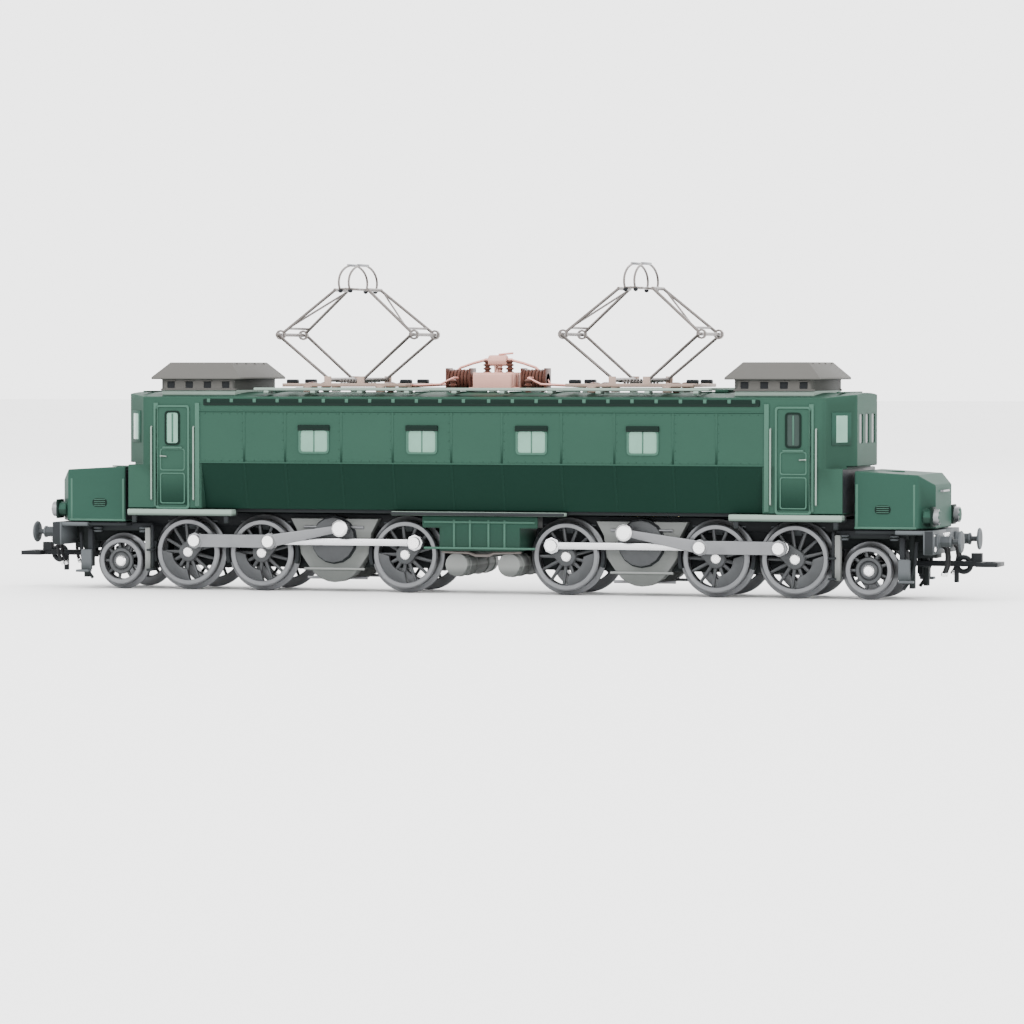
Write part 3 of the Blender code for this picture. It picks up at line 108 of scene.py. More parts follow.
def rounded_rectangle(middle: tuple[float, float], size: tuple[float, float], radius: float) -> Outline:
    """Outline of a rectangle with round corners, anticlockwise."""
    half_u, half_v = size[0] / 2 - radius, size[1] / 2 - radius
    points: Outline = []
    for turn, (su, sv) in enumerate(((1, 1), (-1, 1), (-1, -1), (1, -1))):
        corner = (middle[0] + su * half_u, middle[1] + sv * half_v)
        points += arc(corner, radius, 90 * turn, 90 * turn + 90, 3)
    return points


# --- Shader graphs ------------------------------------------------------------------


class Field:
    """A number that varies over a surface, with the usual arithmetic."""

    def __init__(self, graph: "Graph", socket: bpy.types.NodeSocket) -> None:
        """Wraps a socket of a graph."""
        self.graph = graph
        self.socket = socket

    def _math(self, operation: str, first: object, second: object = 0.0) -> "Field":
        """A Math node on two values or fields."""
        made = self.graph.add("ShaderNodeMath", {"operation": operation}, {0: first, 1: second})
        return Field(self.graph, made.outputs[0])

    def __add__(self, other: object) -> "Field":
        """Self plus other."""
        return self._math("ADD", self, other)

    __radd__ = __add__

    def __mul__(self, other: object) -> "Field":
        """Self times other."""
        return self._math("MULTIPLY", self, other)

    __rmul__ = __mul__

    def between(self, low: float, high: float) -> "Field":
        """A smooth step from 0 at low to 1 at high, where low may be the larger.

        Args:
            low: The value that gives 0.
            high: The value that gives 1.

        Returns:
            The step, from 0 to 1.
        """
        inputs = {"Value": self, "From Min": low, "From Max": high}
        made = self.graph.add("ShaderNodeMapRange", {"interpolation_type": "SMOOTHSTEP"}, inputs)
        return Field(self.graph, made.outputs[0])


class Graph:
    """The node tree of one material."""

    def __init__(self, name: str) -> None:
        """Starts an empty material."""
        self.material = bpy.data.materials.new(name)
        self.material.use_nodes = True
        self.tree = self.material.node_tree
        self.tree.nodes.clear()

    def add(
        self, kind: str, settings: dict | None = None, inputs: dict | None = None
    ) -> bpy.types.Node:
        """Adds a node.

        Args:
            kind: Its type.
            settings: Properties, set before the sockets.
            inputs: Values, sockets or fields by the socket's name or number.

        Returns:
            The node.
        """
        made = self.tree.nodes.new(kind)
        for key, value in (settings or {}).items():
            setattr(made, key, value)
        for key, value in (inputs or {}).items():
            if isinstance(value, Field):
                value = value.socket
            if isinstance(value, bpy.types.NodeSocket):
                self.tree.links.new(value, made.inputs[key])
            else:
                made.inputs[key].default_value = value
        return made

    def place(self) -> bpy.types.NodeSocket:
        """Object coordinates, in metres."""
        return self.add("ShaderNodeTexCoord").outputs["Object"]

    def noise(self, grain: float, detail: float = 3.0, stretch: tuple = (1, 1, 1)) -> Field:
        """Noise with marks of a size in millimetres.

        Args:
            grain: Size of the marks.
            detail: Octaves.
            stretch: How much the pattern is squeezed along each axis.

        Returns:
            The noise, from 0 to 1.
        """
        scaled = self.add("ShaderNodeMapping", None, {"Vector": self.place(), "Scale": stretch})
        inputs = {"Vector": scaled.outputs[0], "Scale": 1 / (grain * MM), "Detail": detail}
        return Field(self, self.add("ShaderNodeTexNoise", None, inputs).outputs[0])

    def edges(self) -> Field:
        """1 on outer edges and 0 elsewhere."""
        geometry = self.add("ShaderNodeNewGeometry")
        return Field(self, geometry.outputs["Pointiness"]).between(0.505, 0.56)

    def underside(self) -> Field:
        """1 where the surface looks down, 0 where it looks level or up."""
        normal = self.add("ShaderNodeTexCoord").outputs["Normal"]
        split = self.add("ShaderNodeSeparateXYZ", None, {0: normal})
        return Field(self, split.outputs[2]).between(-0.02, -0.2)

    def blend(self, factor: object, first: object, second: object) -> bpy.types.NodeSocket:
        """A colour between two colours.

        Args:
            factor: Share of the second colour.
            first: A colour or a socket.
            second: A colour or a socket.

        Returns:
            The mixed colour's socket.
        """
        colours = {6: opaque(first), 7: opaque(second), 0: factor}
        made = self.add("ShaderNodeMix", {"data_type": "RGBA"}, colours)
        return made.outputs[2]

    def bump(self, height: Field, depth: float) -> bpy.types.NodeSocket:
        """A normal for a relief of a depth in millimetres."""
        inputs = {"Height": height, "Distance": depth * MM, "Strength": 1.0}
        return self.add("ShaderNodeBump", None, inputs).outputs[0]

    def shade(self, inputs: dict) -> bpy.types.Material:
        """Ends the graph in a Principled shader and returns the material.

        Args:
            inputs: The shader's values, sockets or fields by name.

        Returns:
            The material.
        """
        shader = self.add("ShaderNodeBsdfPrincipled", None, inputs)
        self.add("ShaderNodeOutputMaterial", None, {"Surface": shader.outputs[0]})
        return self.material


def opaque(colour: object) -> object:
    """A tuple of three numbers with a full alpha, or a socket as it is."""
    return (*colour, 1.0) if isinstance(colour, tuple) and len(colour) == 3 else colour


def scaled(colour: tuple[float, float, float], share: float) -> tuple[float, float, float]:
    """A colour made lighter or darker."""
    return tuple(min(1.0, part * share) for part in colour)


# --- Finishes -----------------------------------------------------------------------


@dataclass(frozen=True)
class Paint:
    """Sprayed satin paint with soft tone changes, dust, wear and painted highlight on edges, painted
    shade below.
    """

    name: str
    colour: tuple[float, float, float]
    roughness: float = 0.5
    coat: float = 0.02
    # How much the edges are lightened: partly wear, partly painted highlight.
    edge_wear_and_highlight: float = 0.35
    # Painted shade on faces that look down: its share and its colour.
    underside_shade: float = 0.45
    underside_shade_colour: tuple[float, float, float] = (0.012, 0.016, 0.014)
    relief: float = 0.012

    def material(self) -> bpy.types.Material:
        """Builds the material."""
        graph = Graph(self.name)
        tone = graph.noise(14.0, 4.0)
        speckle = graph.noise(0.5, 2.0)
        body = graph.blend(tone, scaled(self.colour, 0.86), scaled(self.colour, 1.14))
        dusty = graph.blend(speckle.between(0.62, 0.8) * 0.18, body, scaled(self.colour, 1.5))
        # Edges lightened: wear and painted highlight.
        edge = graph.edges() * self.edge_wear_and_highlight
        edge_wear_and_highlight = graph.blend(edge, dusty, scaled(self.colour, 1.9))
        # Faces that look down darkened: painted shade.
        underside_shaded = graph.blend(graph.underside() * self.underside_shade, edge_wear_and_highlight, self.underside_shade_colour)
        rough = tone * 0.1 + (self.roughness - 0.05)
        return graph.shade(
            {
                "Base Color": underside_shaded,
                "Roughness": rough,
                "Coat Weight": self.coat,
                "Coat Roughness": 0.25,
                "Specular IOR Level": 0.03,
                "Normal": graph.bump(graph.noise(0.35, 2.0), self.relief),
            }
        )


@dataclass(frozen=True)
class Metal:
    """Bare or blackened metal with fine machining marks and tarnish."""

    name: str
    colour: tuple[float, float, float]
    roughness: float = 0.28
    metallic: float = 1.0
    tarnish: float = 0.35
    brushed: tuple[float, float, float] = (1.0, 1.0, 1.0)

    def material(self) -> bpy.types.Material:
        """Builds the material."""
        graph = Graph(self.name)
        cloud = graph.noise(4.0, 4.0)
        marks = graph.noise(0.3, 2.0, self.brushed)
        stain = cloud.between(0.45, 0.75) * self.tarnish
        colour = graph.blend(stain, self.colour, scaled(self.colour, 0.45))
        lit = graph.blend(graph.edges() * 0.4, colour, scaled(self.colour, 1.35))
        return graph.shade(
            {
                "Base Color": lit,
                "Metallic": self.metallic,
                "Roughness": marks * 0.14 + stain * 0.3 + (self.roughness - 0.05),
                "Normal": graph.bump(marks, 0.01),
            }
        )


@dataclass(frozen=True)
class Moulding:
    """Moulded plastic with a fine matt grain."""

    name: str
    colour: tuple[float, float, float]
    roughness: float = 0.5
    metallic: float = 0.0

    def material(self) -> bpy.types.Material:
        """Builds the material."""
        graph = Graph(self.name)
        tone = graph.noise(3.0, 4.0)
        colour = graph.blend(tone, scaled(self.colour, 0.8), scaled(self.colour, 1.2))
        lit = graph.blend(graph.edges() * 0.3, colour, scaled(self.colour, 1.7))
        return graph.shade(
            {
                "Base Color": lit,
                "Metallic": self.metallic,
                "Specular IOR Level": 0.08,
                "Roughness": tone * 0.14 + (self.roughness - 0.07),
                "Normal": graph.bump(graph.noise(0.25, 2.0), 0.012),
            }
        )


@dataclass(frozen=True)
class Pane:
    """A glossy window insert with a pale reflection cloud."""

    name: str
    colour: tuple[float, float, float]
    roughness: float = 0.12
    glow: float = 0.0
    coat: float = 0.3
    gloss: float = 0.3

    def material(self) -> bpy.types.Material:
        """Builds the material."""
        graph = Graph(self.name)
        cloud = graph.noise(5.0, 2.0)
        colour = graph.blend(cloud, scaled(self.colour, 0.8), scaled(self.colour, 1.12))
        return graph.shade(
            {
                "Base Color": colour,
                "Roughness": graph.noise(1.5) * 0.1 + self.roughness,
                "Coat Weight": self.coat,
                "Specular IOR Level": self.gloss,
                "Coat Roughness": 0.06,
                "Emission Color": opaque(self.colour),
                "Emission Strength": self.glow,
            }
        )


FINISHES = {
    # The body's faces that look down, its slanted lower wall among them, take a strong painted shade.
    "body": Paint(
        "body_paint", (0.0145, 0.0365, 0.0262), underside_shade=0.85, underside_shade_colour=(0.002, 0.0115, 0.0075)
    ),
    "hood": Paint("hood_paint", (0.0125, 0.0335, 0.0245)),
    "trim": Paint("trim_paint", (0.0252, 0.0567, 0.042), edge_wear_and_highlight=0.5, underside_shade=0.2),
    # Near-black, for dark trim and for painted shadow: the band under the eaves and the ledges over the
    # windows.
    "dark": Paint("dark_trim_and_shadow_paint", (0.0036, 0.0084, 0.0066), 0.5),
    "case": Paint("transformer_paint", (0.0115, 0.0315, 0.0225), 0.5, underside_shade=0.3),
    "board": Paint("board_paint", (0.124, 0.1612, 0.1395), 0.55, edge_wear_and_highlight=0.3, underside_shade=0.6),
    "roof": Paint("roof_paint", (0.056, 0.0545, 0.051), 0.58, 0.0, underside_shade=0.5),
    "frame": Paint("frame_paint", (0.042, 0.046, 0.049), 0.5, 0.05, edge_wear_and_highlight=0.6),
    "cover": Paint("drive_cover_paint", (0.115, 0.12, 0.116), 0.55, edge_wear_and_highlight=0.4, underside_shade=0.5),
    "dusk": Paint("underframe_paint", (0.0121, 0.0132, 0.0143), 0.55, 0.0, edge_wear_and_highlight=0.6),
    "wheel": Metal("wheel_metal", (0.034, 0.036, 0.038), 0.42, 0.5),
    "tyre": Metal("tyre_steel", (0.115, 0.118, 0.123), 0.3, 0.8, brushed=(1, 0.1, 1)),
    "steel": Metal("rod_steel_bright", (0.56, 0.567, 0.581), 0.24, 1.0, 0.15, (0.08, 1, 1)),
    "plate": Metal("plate_rod_metal", (0.144, 0.147, 0.153), 0.36, 0.85, 0.2, (0.1, 1, 1)),
    "bright": Metal("pin_head_steel", (0.6975, 0.6975, 0.6975), 0.22, 0.75, 0.05),
    "wire": Metal("pantograph_wire_metal", (0.102, 0.09, 0.084), 0.36, 0.6),
    "pale": Metal("pantograph_base_metal", (0.21, 0.147, 0.119), 0.42, 0.35, 0.2),
    "bus": Metal("busbar_copper", (0.425, 0.1955, 0.1615), 0.36, 0.35, 0.15),
    "brass": Metal("brass_metal", (0.78, 0.56, 0.24), 0.3),
    "motor": Metal("motor_can_metal", (0.55, 0.55, 0.56), 0.33),
    "brown": Moulding("insulator_glaze", (0.056, 0.0224, 0.016), 0.3),
    "salmon": Moulding("switch_case_plastic", (0.38, 0.209, 0.171), 0.45),
    "black": Moulding("black_plastic", (0.008, 0.009, 0.01), 0.45),
    "rubber": Moulding("hose_rubber", (0.01, 0.0105, 0.011), 0.6),
    "circuit": Moulding("circuit_laminate", (0.02, 0.15, 0.06), 0.4),
    # Both glass finishes are opaque: the pale green window finish is painted light, the bright
    # surroundings seen through the glass; the near-black cab glass is painted shade.
    "window": Pane("window_insert", (0.105, 0.22, 0.165)),
    "cab_glass": Pane("cab_glass", (0.02, 0.032, 0.028), coat=0.03, gloss=0.1),
    "lens": Pane("lamp_lens", (0.6, 0.62, 0.6), 0.08),
}
MATERIALS: dict[str, bpy.types.Material] = {}


def finish_material(name: str) -> bpy.types.Material:
    """The material of a finish, built when it is first asked for."""
    if name not in MATERIALS:
        MATERIALS[name] = FINISHES[name].material()
    return MATERIALS[name]


# --- Mesh work ----------------------------------------------------------------------


class Workpiece:
    """A mesh being made, in millimetres, in the locomotive's own frame."""

    def __init__(self) -> None:
        """Starts with nothing."""
        self.mesh = bmesh.new()

    def absorb(self, part: bmesh.types.BMesh, place: Matrix | None = None) -> "Workpiece":
        """Moves a finished closed shape to its place and takes it in.

        Args:
            part: The shape, which is used up.
            place: Where it goes, or None to leave it.

        Returns:
            The workpiece.
        """
        if place is not None:
            bmesh.ops.transform(part, matrix=place, verts=part.verts)
        bmesh.ops.recalc_face_normals(part, faces=part.faces)
        held = bpy.data.meshes.new("held")
        part.to_mesh(held)
        part.free()
        self.mesh.from_mesh(held)
        bpy.data.meshes.remove(held)
        return self

    def box(self, x: Span, y: Span, z: Span, soft: float = 0.12, segments: int = 2) -> "Workpiece":
        """Adds a box with softened edges.

        Args:
            x: Its ends along X, in either order.
            y: Its ends along Y.
            z: Its ends along Z.
            soft: Radius of its edges.
            segments: Faces round each edge.

        Returns:
            The workpiece.
        """
        spans = [sorted(span) for span in (x, y, z)]
        size = Vector([high - low for low, high in spans])
        middle = Vector([(high + low) / 2 for low, high in spans])
        part = bmesh.new()
        bmesh.ops.create_cube(part, size=1.0)
        bmesh.ops.scale(part, vec=size, verts=part.verts)
        round_edges(part, list(part.edges), min(soft, min(size) * 0.45), segments)
        return self.absorb(part, Matrix.Translation(middle))

    def rod(
        self,
        start: tuple,
        end: tuple,
        radius: float,
        end_radius: float | None = None,
        sides: int = 16,
        soft: float = 0.0,
    ) -> "Workpiece":
        """Adds a round bar or cone between two points, its end rims softened.

        Args:
            start: Middle of its first end.
            end: Middle of its other end.
            radius: Radius at the start.
            end_radius: Radius at the end, if it differs.
            sides: Faces round it.
            soft: Radius of its rims, or 0.

        Returns:
            The workpiece.
        """
        first, last = Vector(start), Vector(end)
        along = last - first
        last_radius = radius if end_radius is None else end_radius
        part = bmesh.new()
        bmesh.ops.create_cone(
            part, cap_ends=True, segments=sides, radius1=radius, radius2=last_radius, depth=along.length
        )
        if soft > 0:
            round_edges(part, cap_rims(part), soft, 2)
        turn = AXES["z"].rotation_difference(along).to_matrix().to_4x4()
        return self.absorb(part, Matrix.Translation((first + last) / 2) @ turn)

    def ball(self, centre: tuple, size: tuple, sides: int = 12) -> "Workpiece":
        """Adds a ball with its own half sizes along X, Y and Z.

        Args:
            centre: Its middle.
            size: Half sizes along X, Y and Z.
            sides: Faces round it.

        Returns:
            The workpiece.
        """
        part = bmesh.new()
        bmesh.ops.create_uvsphere(part, u_segments=sides, v_segments=sides // 2, radius=1.0)
        bmesh.ops.scale(part, vec=size, verts=part.verts)
        return self.absorb(part, Matrix.Translation(centre))

    def prism(self, outline: Outline, plane: Plane, span: Span, soft: float = 0.0) -> "Workpiece":
        """Adds a flat outline made as thick as a span on the plane's third axis.

        Args:
            outline: The closed outline.
            plane: The plane that it is drawn in.
            span: Its ends on the plane's third axis.
            soft: Radius of its rims, or 0.

        Returns:
            The workpiece.
        """
        part = bmesh.new()
        part.faces.new([part.verts.new((u, v, min(span))) for u, v in outline])
        thicken(part, plane, span)
        if soft > 0:
            round_edges(part, cap_rims(part), soft, 2)
        return self.absorb(part, plane.value)

    def turned(self, profile: Outline, axis: str, centre: tuple, steps: int = 32) -> "Workpiece":
        """Adds a profile of (radius, place along the axis) spun about an axis through a point.

        Args:
            profile: Points of the profile.
            axis: One of AXES.
            centre: The point on the axis where the profile starts.
            steps: Faces round it.

        Returns:
            The workpiece.
        """
        part = bmesh.new()
        verts = [part.verts.new((radius, 0, along)) for radius, along in profile]
        edges = [part.edges.new(pair) for pair in zip(verts, verts[1:])]
        spin = {"cent": (0, 0, 0), "axis": (0, 0, 1), "angle": TURN, "steps": steps}
        bmesh.ops.spin(part, geom=verts + edges, use_merge=True, **spin)
        bmesh.ops.remove_doubles(part, verts=part.verts, dist=1e-4)
        turn = AXES["z"].rotation_difference(AXES[axis]).to_matrix().to_4x4()
        return self.absorb(part, Matrix.Translation(centre) @ turn)

    def ring(
        self, centre: tuple, axis: str, radius: float, thick: float, steps: int = 28
    ) -> "Workpiece":
        """Adds a round ring of round wire."""
        section = arc((radius, 0), thick, 0, 360, 8)
        return self.turned(section, axis, centre, steps)

    def tube(self, points: list[tuple], radius: float, sides: int = 8) -> "Workpiece":
        """Adds a round wire along points, with flat closed ends.

        Args:
            points: Where its middle runs.
            radius: Half its thickness.
            sides: Faces round it.

        Returns:
            The workpiece.
        """
        way = [Vector(point) for point in points]
        part = bmesh.new()
        bmesh.ops.create_circle(part, cap_ends=True, segments=sides, radius=radius)
        heading = way[1] - way[0]
        turn = AXES["z"].rotation_difference(heading).to_matrix().to_4x4()
        place = Matrix.Translation(way[0]) @ turn
        bmesh.ops.transform(part, matrix=place, verts=part.verts)
        face = part.faces[:][0]
        for index in range(1, len(way)):
            grown = bmesh.ops.extrude_face_region(part, geom=[face])["geom"]
            moved = corners_of(grown)
            face = next(item for item in grown if isinstance(item, bmesh.types.BMFace))
            before = heading
            after = way[min(index + 1, len(way) - 1)] - way[index - 1]
            turn = before.rotation_difference(after).to_matrix().to_4x4()
            shift = Matrix.Translation(way[index]) @ turn @ Matrix.Translation(-way[index - 1])
            bmesh.ops.transform(part, matrix=shift, verts=moved)
            heading = after
        return self.absorb(part)

    def frame_of(self, outline: Outline, inner: Outline, plane: Plane, span: Span) -> "Workpiece":
        """Adds a flat ring between an outline and a smaller one inside it.

        Args:
            outline: The outer outline.
            inner: The inner outline.
            plane: The plane that both are drawn in.
            span: Its ends on the plane's third axis.

        Returns:
            The workpiece.
        """
        part = bmesh.new()
        edges = []
        for points in (outline, inner):
            verts = [part.verts.new((u, v, min(span))) for u, v in points]
            edges += [part.edges.new(pair) for pair in zip(verts, verts[1:] + verts[:1])]
        bmesh.ops.triangle_fill(part, use_beauty=True, edges=edges, normal=(0, 0, 1))
        thicken(part, plane, span)
        return self.absorb(part, plane.value)

    def taken(self, node: str, soft: float = 0.15, stretch: tuple = (1, 1, 1)) -> "Workpiece":
        """Adds a CAD node's shape with its sharp edges softened.

        Args:
            node: The CAD node.
            soft: Radius of its edges, or 0.
            stretch: Scale along each axis.

        Returns:
            The workpiece.
        """
        part = bmesh.new()
        part.from_mesh(frame["nodes"][node].data)
        bmesh.ops.scale(part, vec=Vector(stretch) / MM, verts=part.verts)
        bmesh.ops.remove_doubles(part, verts=part.verts, dist=0.002)
        bmesh.ops.dissolve_limit(part, angle_limit=math.radians(1), verts=part.verts, edges=part.edges)
        sharp = [edge for edge in part.edges if len(edge.link_faces) == 2]
        sharp = [edge for edge in sharp if edge.calc_face_angle(0) > SHARP]
        if soft > 0:
            round_edges(part, sharp, soft, 2, clamp=False)
        return self.absorb(part)

    def mirrored(self, axes: str) -> "Workpiece":
        """Adds the mirror image of everything so far, across X = 0, Y = 0 or one after the other.

        Args:
            axes: X, Y or XY.

        Returns:
            The workpiece.
        """
        for axis in axes:
            everything = self.mesh.verts[:] + self.mesh.edges[:] + self.mesh.faces[:]
            bmesh.ops.mirror(self.mesh, geom=everything, merge_dist=-1.0, axis=axis)
            bmesh.ops.recalc_face_normals(self.mesh, faces=self.mesh.faces)
        return self

    def done(
        self, name: str, finish: str, body: str, slot: str, replaces: tuple = (), crease: float = 32
    ) -> bpy.types.Object:
        """Makes the workpiece an object that rides on a CAD body.

        Args:
            name: The piece's name.
            finish: One of FINISHES.
            body: The CAD body.
            slot: The record's material slot; not used.
            replaces: CAD nodes that it stands for.
            crease: Angle in degrees from which an edge is sharp.

        Returns:
            The object.
        """
        bmesh.ops.scale(self.mesh, vec=(MM, MM, MM), verts=self.mesh.verts)
        data = bpy.data.meshes.new(name)
        self.mesh.to_mesh(data)
        self.mesh.free()
        data.materials.append(finish_material(finish))
        data.shade_smooth()
        data.set_sharp_from_angle(angle=math.radians(crease))
        piece = bpy.data.objects.new(name, data)
        bpy.context.scene.collection.objects.link(piece)
        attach(piece, body)
        if replaces:
            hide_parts(*replaces)
        LOG.info("%s on %s: %d faces", name, body, len(data.polygons))
        return piece


def corners_of(grown: list) -> list:
    """The vertices among what an extrusion made."""
    return [item for item in grown if isinstance(item, bmesh.types.BMVert)]


def cap_rims(part: bmesh.types.BMesh) -> list:
    """The edges round the faces that have more than four corners."""
    return [edge for edge in part.edges if any(len(face.verts) > 4 for face in edge.link_faces)]


def thicken(part: bmesh.types.BMesh, plane: Plane, span: Span) -> None:
    """Makes flat faces at the span's low end as thick as the span, ready for their plane."""
    low, high = sorted(span)
    grown = bmesh.ops.extrude_face_region(part, geom=part.faces[:])["geom"]
    bmesh.ops.translate(part, vec=(0, 0, high - low), verts=corners_of(grown))
    if plane is Plane.XZ:
        bmesh.ops.translate(part, vec=(0, 0, -low - high), verts=part.verts)


def framed(
    work: Workpiece, plane: Plane, middle: Span, size: Span, border: float, radii: Span, span: Span
) -> Outline:
    """Adds a ring round an opening.

    Args:
        work: The workpiece that takes the ring.
        plane: The plane of the opening.
        middle: The opening's middle.
        size: The opening's size.
        border: How much larger the ring's outside is.
        radii: Corner radii of the opening and of the ring's outside.
        span: The ring's place on the plane's third axis.

    Returns:
        The opening's outline.
    """
    inner = rounded_rectangle(middle, size, radii[0])
    outer = rounded_rectangle(middle, (size[0] + border, size[1] + border), radii[1])
    work.frame_of(outer, inner, plane, span)
    return inner


def softened(
    node: str, ending: str, finish: str, body: str, slot: str, soft: float, crease: float = 32
) -> None:
    """Makes the piece that stands for one CAD node: the node's own shape with soft edges.

    Args:
        node: The CAD node.
        ending: What the piece's name adds to the node's.
        finish: One of FINISHES.
        body: The CAD body.
        slot: The record's material slot.
        soft: Radius of its edges, or 0.
        crease: Angle in degrees from which an edge is sharp.
    """
    Workpiece().taken(node, soft).done(node + ending, finish, body, slot, (node,), crease)


def round_edges(
    part: bmesh.types.BMesh, edges: list, radius: float, segments: int, clamp: bool = True
) -> None:
    """Rounds edges of a shape.

    Args:
        part: The shape.
        edges: Its edges to round.
        radius: How far the rounding reaches.
        segments: Faces round each edge.
        clamp: Whether neighbours stop each other.
    """
    if radius > 0 and edges:
        bmesh.ops.bevel(
            part,
            geom=edges,
            offset=radius,
            offset_type="OFFSET",
            segments=segments,
            profile=0.5,
            affect="EDGES",
            clamp_overlap=clamp,
            material=-1,
        )


# --- Body ---------------------------------------------------------------------------


@dataclass
class BodyWork:
    """The long box body with its cabs, doors, windows, seams, gutters and handrails."""

    narrow: float = 0.965
    slant_foot: float = 14.6
    waist: float = 29.6
    eave: float = 44.9
    door_middle: float = 73.6
    door_width: float = 7.4
    window_x: tuple[float, ...] = (13.0, 39.0)
    window_size: Span = (6.5, 4.8)
    window_z: float = 34.8
    door_window: Span = (2.8, 7.0)
    door_window_z: float = 37.7
    end_window: Span = (3.4, 6.5)
    end_window_spacing: float = 6.3
    end_window_z: float = 38.0
    end_door: Span = (4.9, 14.2)
    corner: Span = (5.8, 6.6)
    border: float = 0.9
    seams: tuple[float, ...] = (6.0, 20.0, 32.4, 46.0, 56.0)
    seam: float = 0.25
    rivet: float = 0.14
    gutter_half_length: float = 66.0
    rail: float = 0.2
    rail_reach: float = 0.35
    lower_end_x: float = 84.76

    def __post_init__(self) -> None:
        """Takes the walls' places from the CAD body."""
        low, high = node_box("body_shell")
        self.wall = high.y * self.narrow
        self.foot = self.slant_foot * self.narrow
        self.bottom = low.z
        self.front = high.x
        self.crown = high.z

    def shell(self) -> None:
        """The painted casting."""
        work = Workpiece().taken("body_shell", 0.22, (1, self.narrow, 1))
        work.done("body_casting", "body", "body", "body_green", ("body_shell",), 10)

    def wall_strip(self, work: Workpiece, x: Span, z: Span, proud: float, soft: float = 0.06) -> None:
        """A flat strip on the near upper wall."""
        work.box(x, (-self.wall - proud, -self.wall + 0.3), z, soft)

    def slanted_strip(self, work: Workpiece, x: Span, proud: float) -> None:
        """A thin strip up the slanted lower wall.

        Args:
            work: The workpiece that takes it.
            x: Its ends along X.
            proud: How far it stands out.
        """
        lean = (self.wall - self.foot) / (self.waist - self.bottom)
        outline = [
            (-self.foot - proud, self.bottom + 0.2),
            (-self.wall - proud + 0.05 * lean, self.waist),
            (-self.wall + 0.3, self.waist),
            (-self.foot + 0.3, self.bottom + 0.2),
        ]
        work.prism(outline, Plane.YZ, x)

    def seams_and_bands(self) -> None:
        """Panel seams, the waist edge, the line under the gutter and the cab's pilasters."""
        work = Workpiece()
        door_start = self.door_middle - self.door_width / 2 - 2.4
        for x in self.seams:
            across = (x - self.seam, x + self.seam)
            self.wall_strip(work, across, (self.waist + 0.3, self.eave - 3.4), 0.09)
            self.slanted_strip(work, across, 0.09)
        self.wall_strip(work, (0.0, door_start), (self.waist - 0.05, self.waist + 0.35), 0.14)
        self.wall_strip(work, (0.0, door_start), (self.eave - 3.5, self.eave - 3.15), 0.14)
        work.mirrored("XY").done("body_panel_seams", "body", "body", "body_green")
        pale = Workpiece()
        for x in (door_start, self.door_middle + self.door_width / 2 + 0.4):
            upright = (self.waist - 10.0, self.eave - 1.4)
            self.wall_strip(pale, (x - 0.55, x + 0.55), upright, 0.3, 0.12)
        pale.mirrored("XY").done("cab_pilasters", "trim", "body", "body_green")

    def rivets(self) -> None:
        """Rows of small rivets beside the seams and along the waist."""
        work = Workpiece()
        rows = [(x, z) for x in self.seams for z in range(31, 42, 2)]
        rows += [(x, self.waist + 0.75) for x in range(1, 67, 2)]
        rows += [(x, self.eave - 3.85) for x in range(1, 67, 2)]
        for x, z in rows:
            root = Vector((x + 0.55, -self.wall, z))
            work.rod(root, root - Vector((0, 0.1, 0)), self.rivet, self.rivet / 2, 6)
        work.mirrored("XY").done("body_rivets", "body", "body", "body_green")

    def gutter(self) -> None:
        """The rain gutter along the eaves, near-black as painted shadow below the roof's edge, and its
        brackets.
        """
        dark = Workpiece()
        depth = (-self.wall - 0.35, -self.wall + 0.4)
        reach = self.gutter_half_length
        # The gutter is near-black as painted shadow below the eaves.
        dark.box((-reach, reach), depth, (self.eave - 2.0, self.eave - 0.5), 0.25)
        dark.mirrored("Y").done("roof_gutter", "dark", "body", "body_green")
        clips = Workpiece()
        for index in range(12):
            x = 3.0 + index * 5.6
            self.wall_strip(clips, (x - 0.4, x + 0.4), (self.eave - 1.3, self.eave - 0.4), 0.42, 0.1)
        clips.mirrored("XY").done("gutter_brackets", "trim", "body", "body_green")

    def windows(self) -> None:
        """Frames, inserts and glazing bars of the engine room windows, and over each a ledge painted
        dark as its shadow.
        """
        panes, frames, shadow_ledges = Workpiece(), Workpiece(), Workpiece()
        wide, tall = self.window_size
        for x in self.window_x:
            span = (-self.wall - 0.22, -self.wall + 0.2)
            middle = (x, self.window_z)
            inner = framed(frames, Plane.XZ, middle, self.window_size, self.border, (0.6, 0.9), span)
            panes.prism(inner, Plane.XZ, (-self.wall - 0.02, -self.wall + 1.5))
            top = self.window_z + tall / 2
            depth = (-self.wall - 0.14, -self.wall + 0.1)
            frames.box((x - 0.13, x + 0.13), depth, (top - tall, top), 0.05)
            # A ledge over each window, near-black as painted shadow under the window's top.
            depth = (-self.wall - 0.5, -self.wall + 0.2)
            shadow_ledges.box((x - wide / 2 - 0.6, x + wide / 2 + 0.6), depth, (top, top + 1.3), 0.2)
        panes.mirrored("XY")
        panes.done("window_inserts", "window", "body", "clear_glazing", ("glazing_near", "glazing_far"))
        frames.mirrored("XY").done("window_frames", "trim", "body", "body_green")
        shadow_ledges.mirrored("XY").done("window_shadow_ledges", "dark", "body", "body_green")

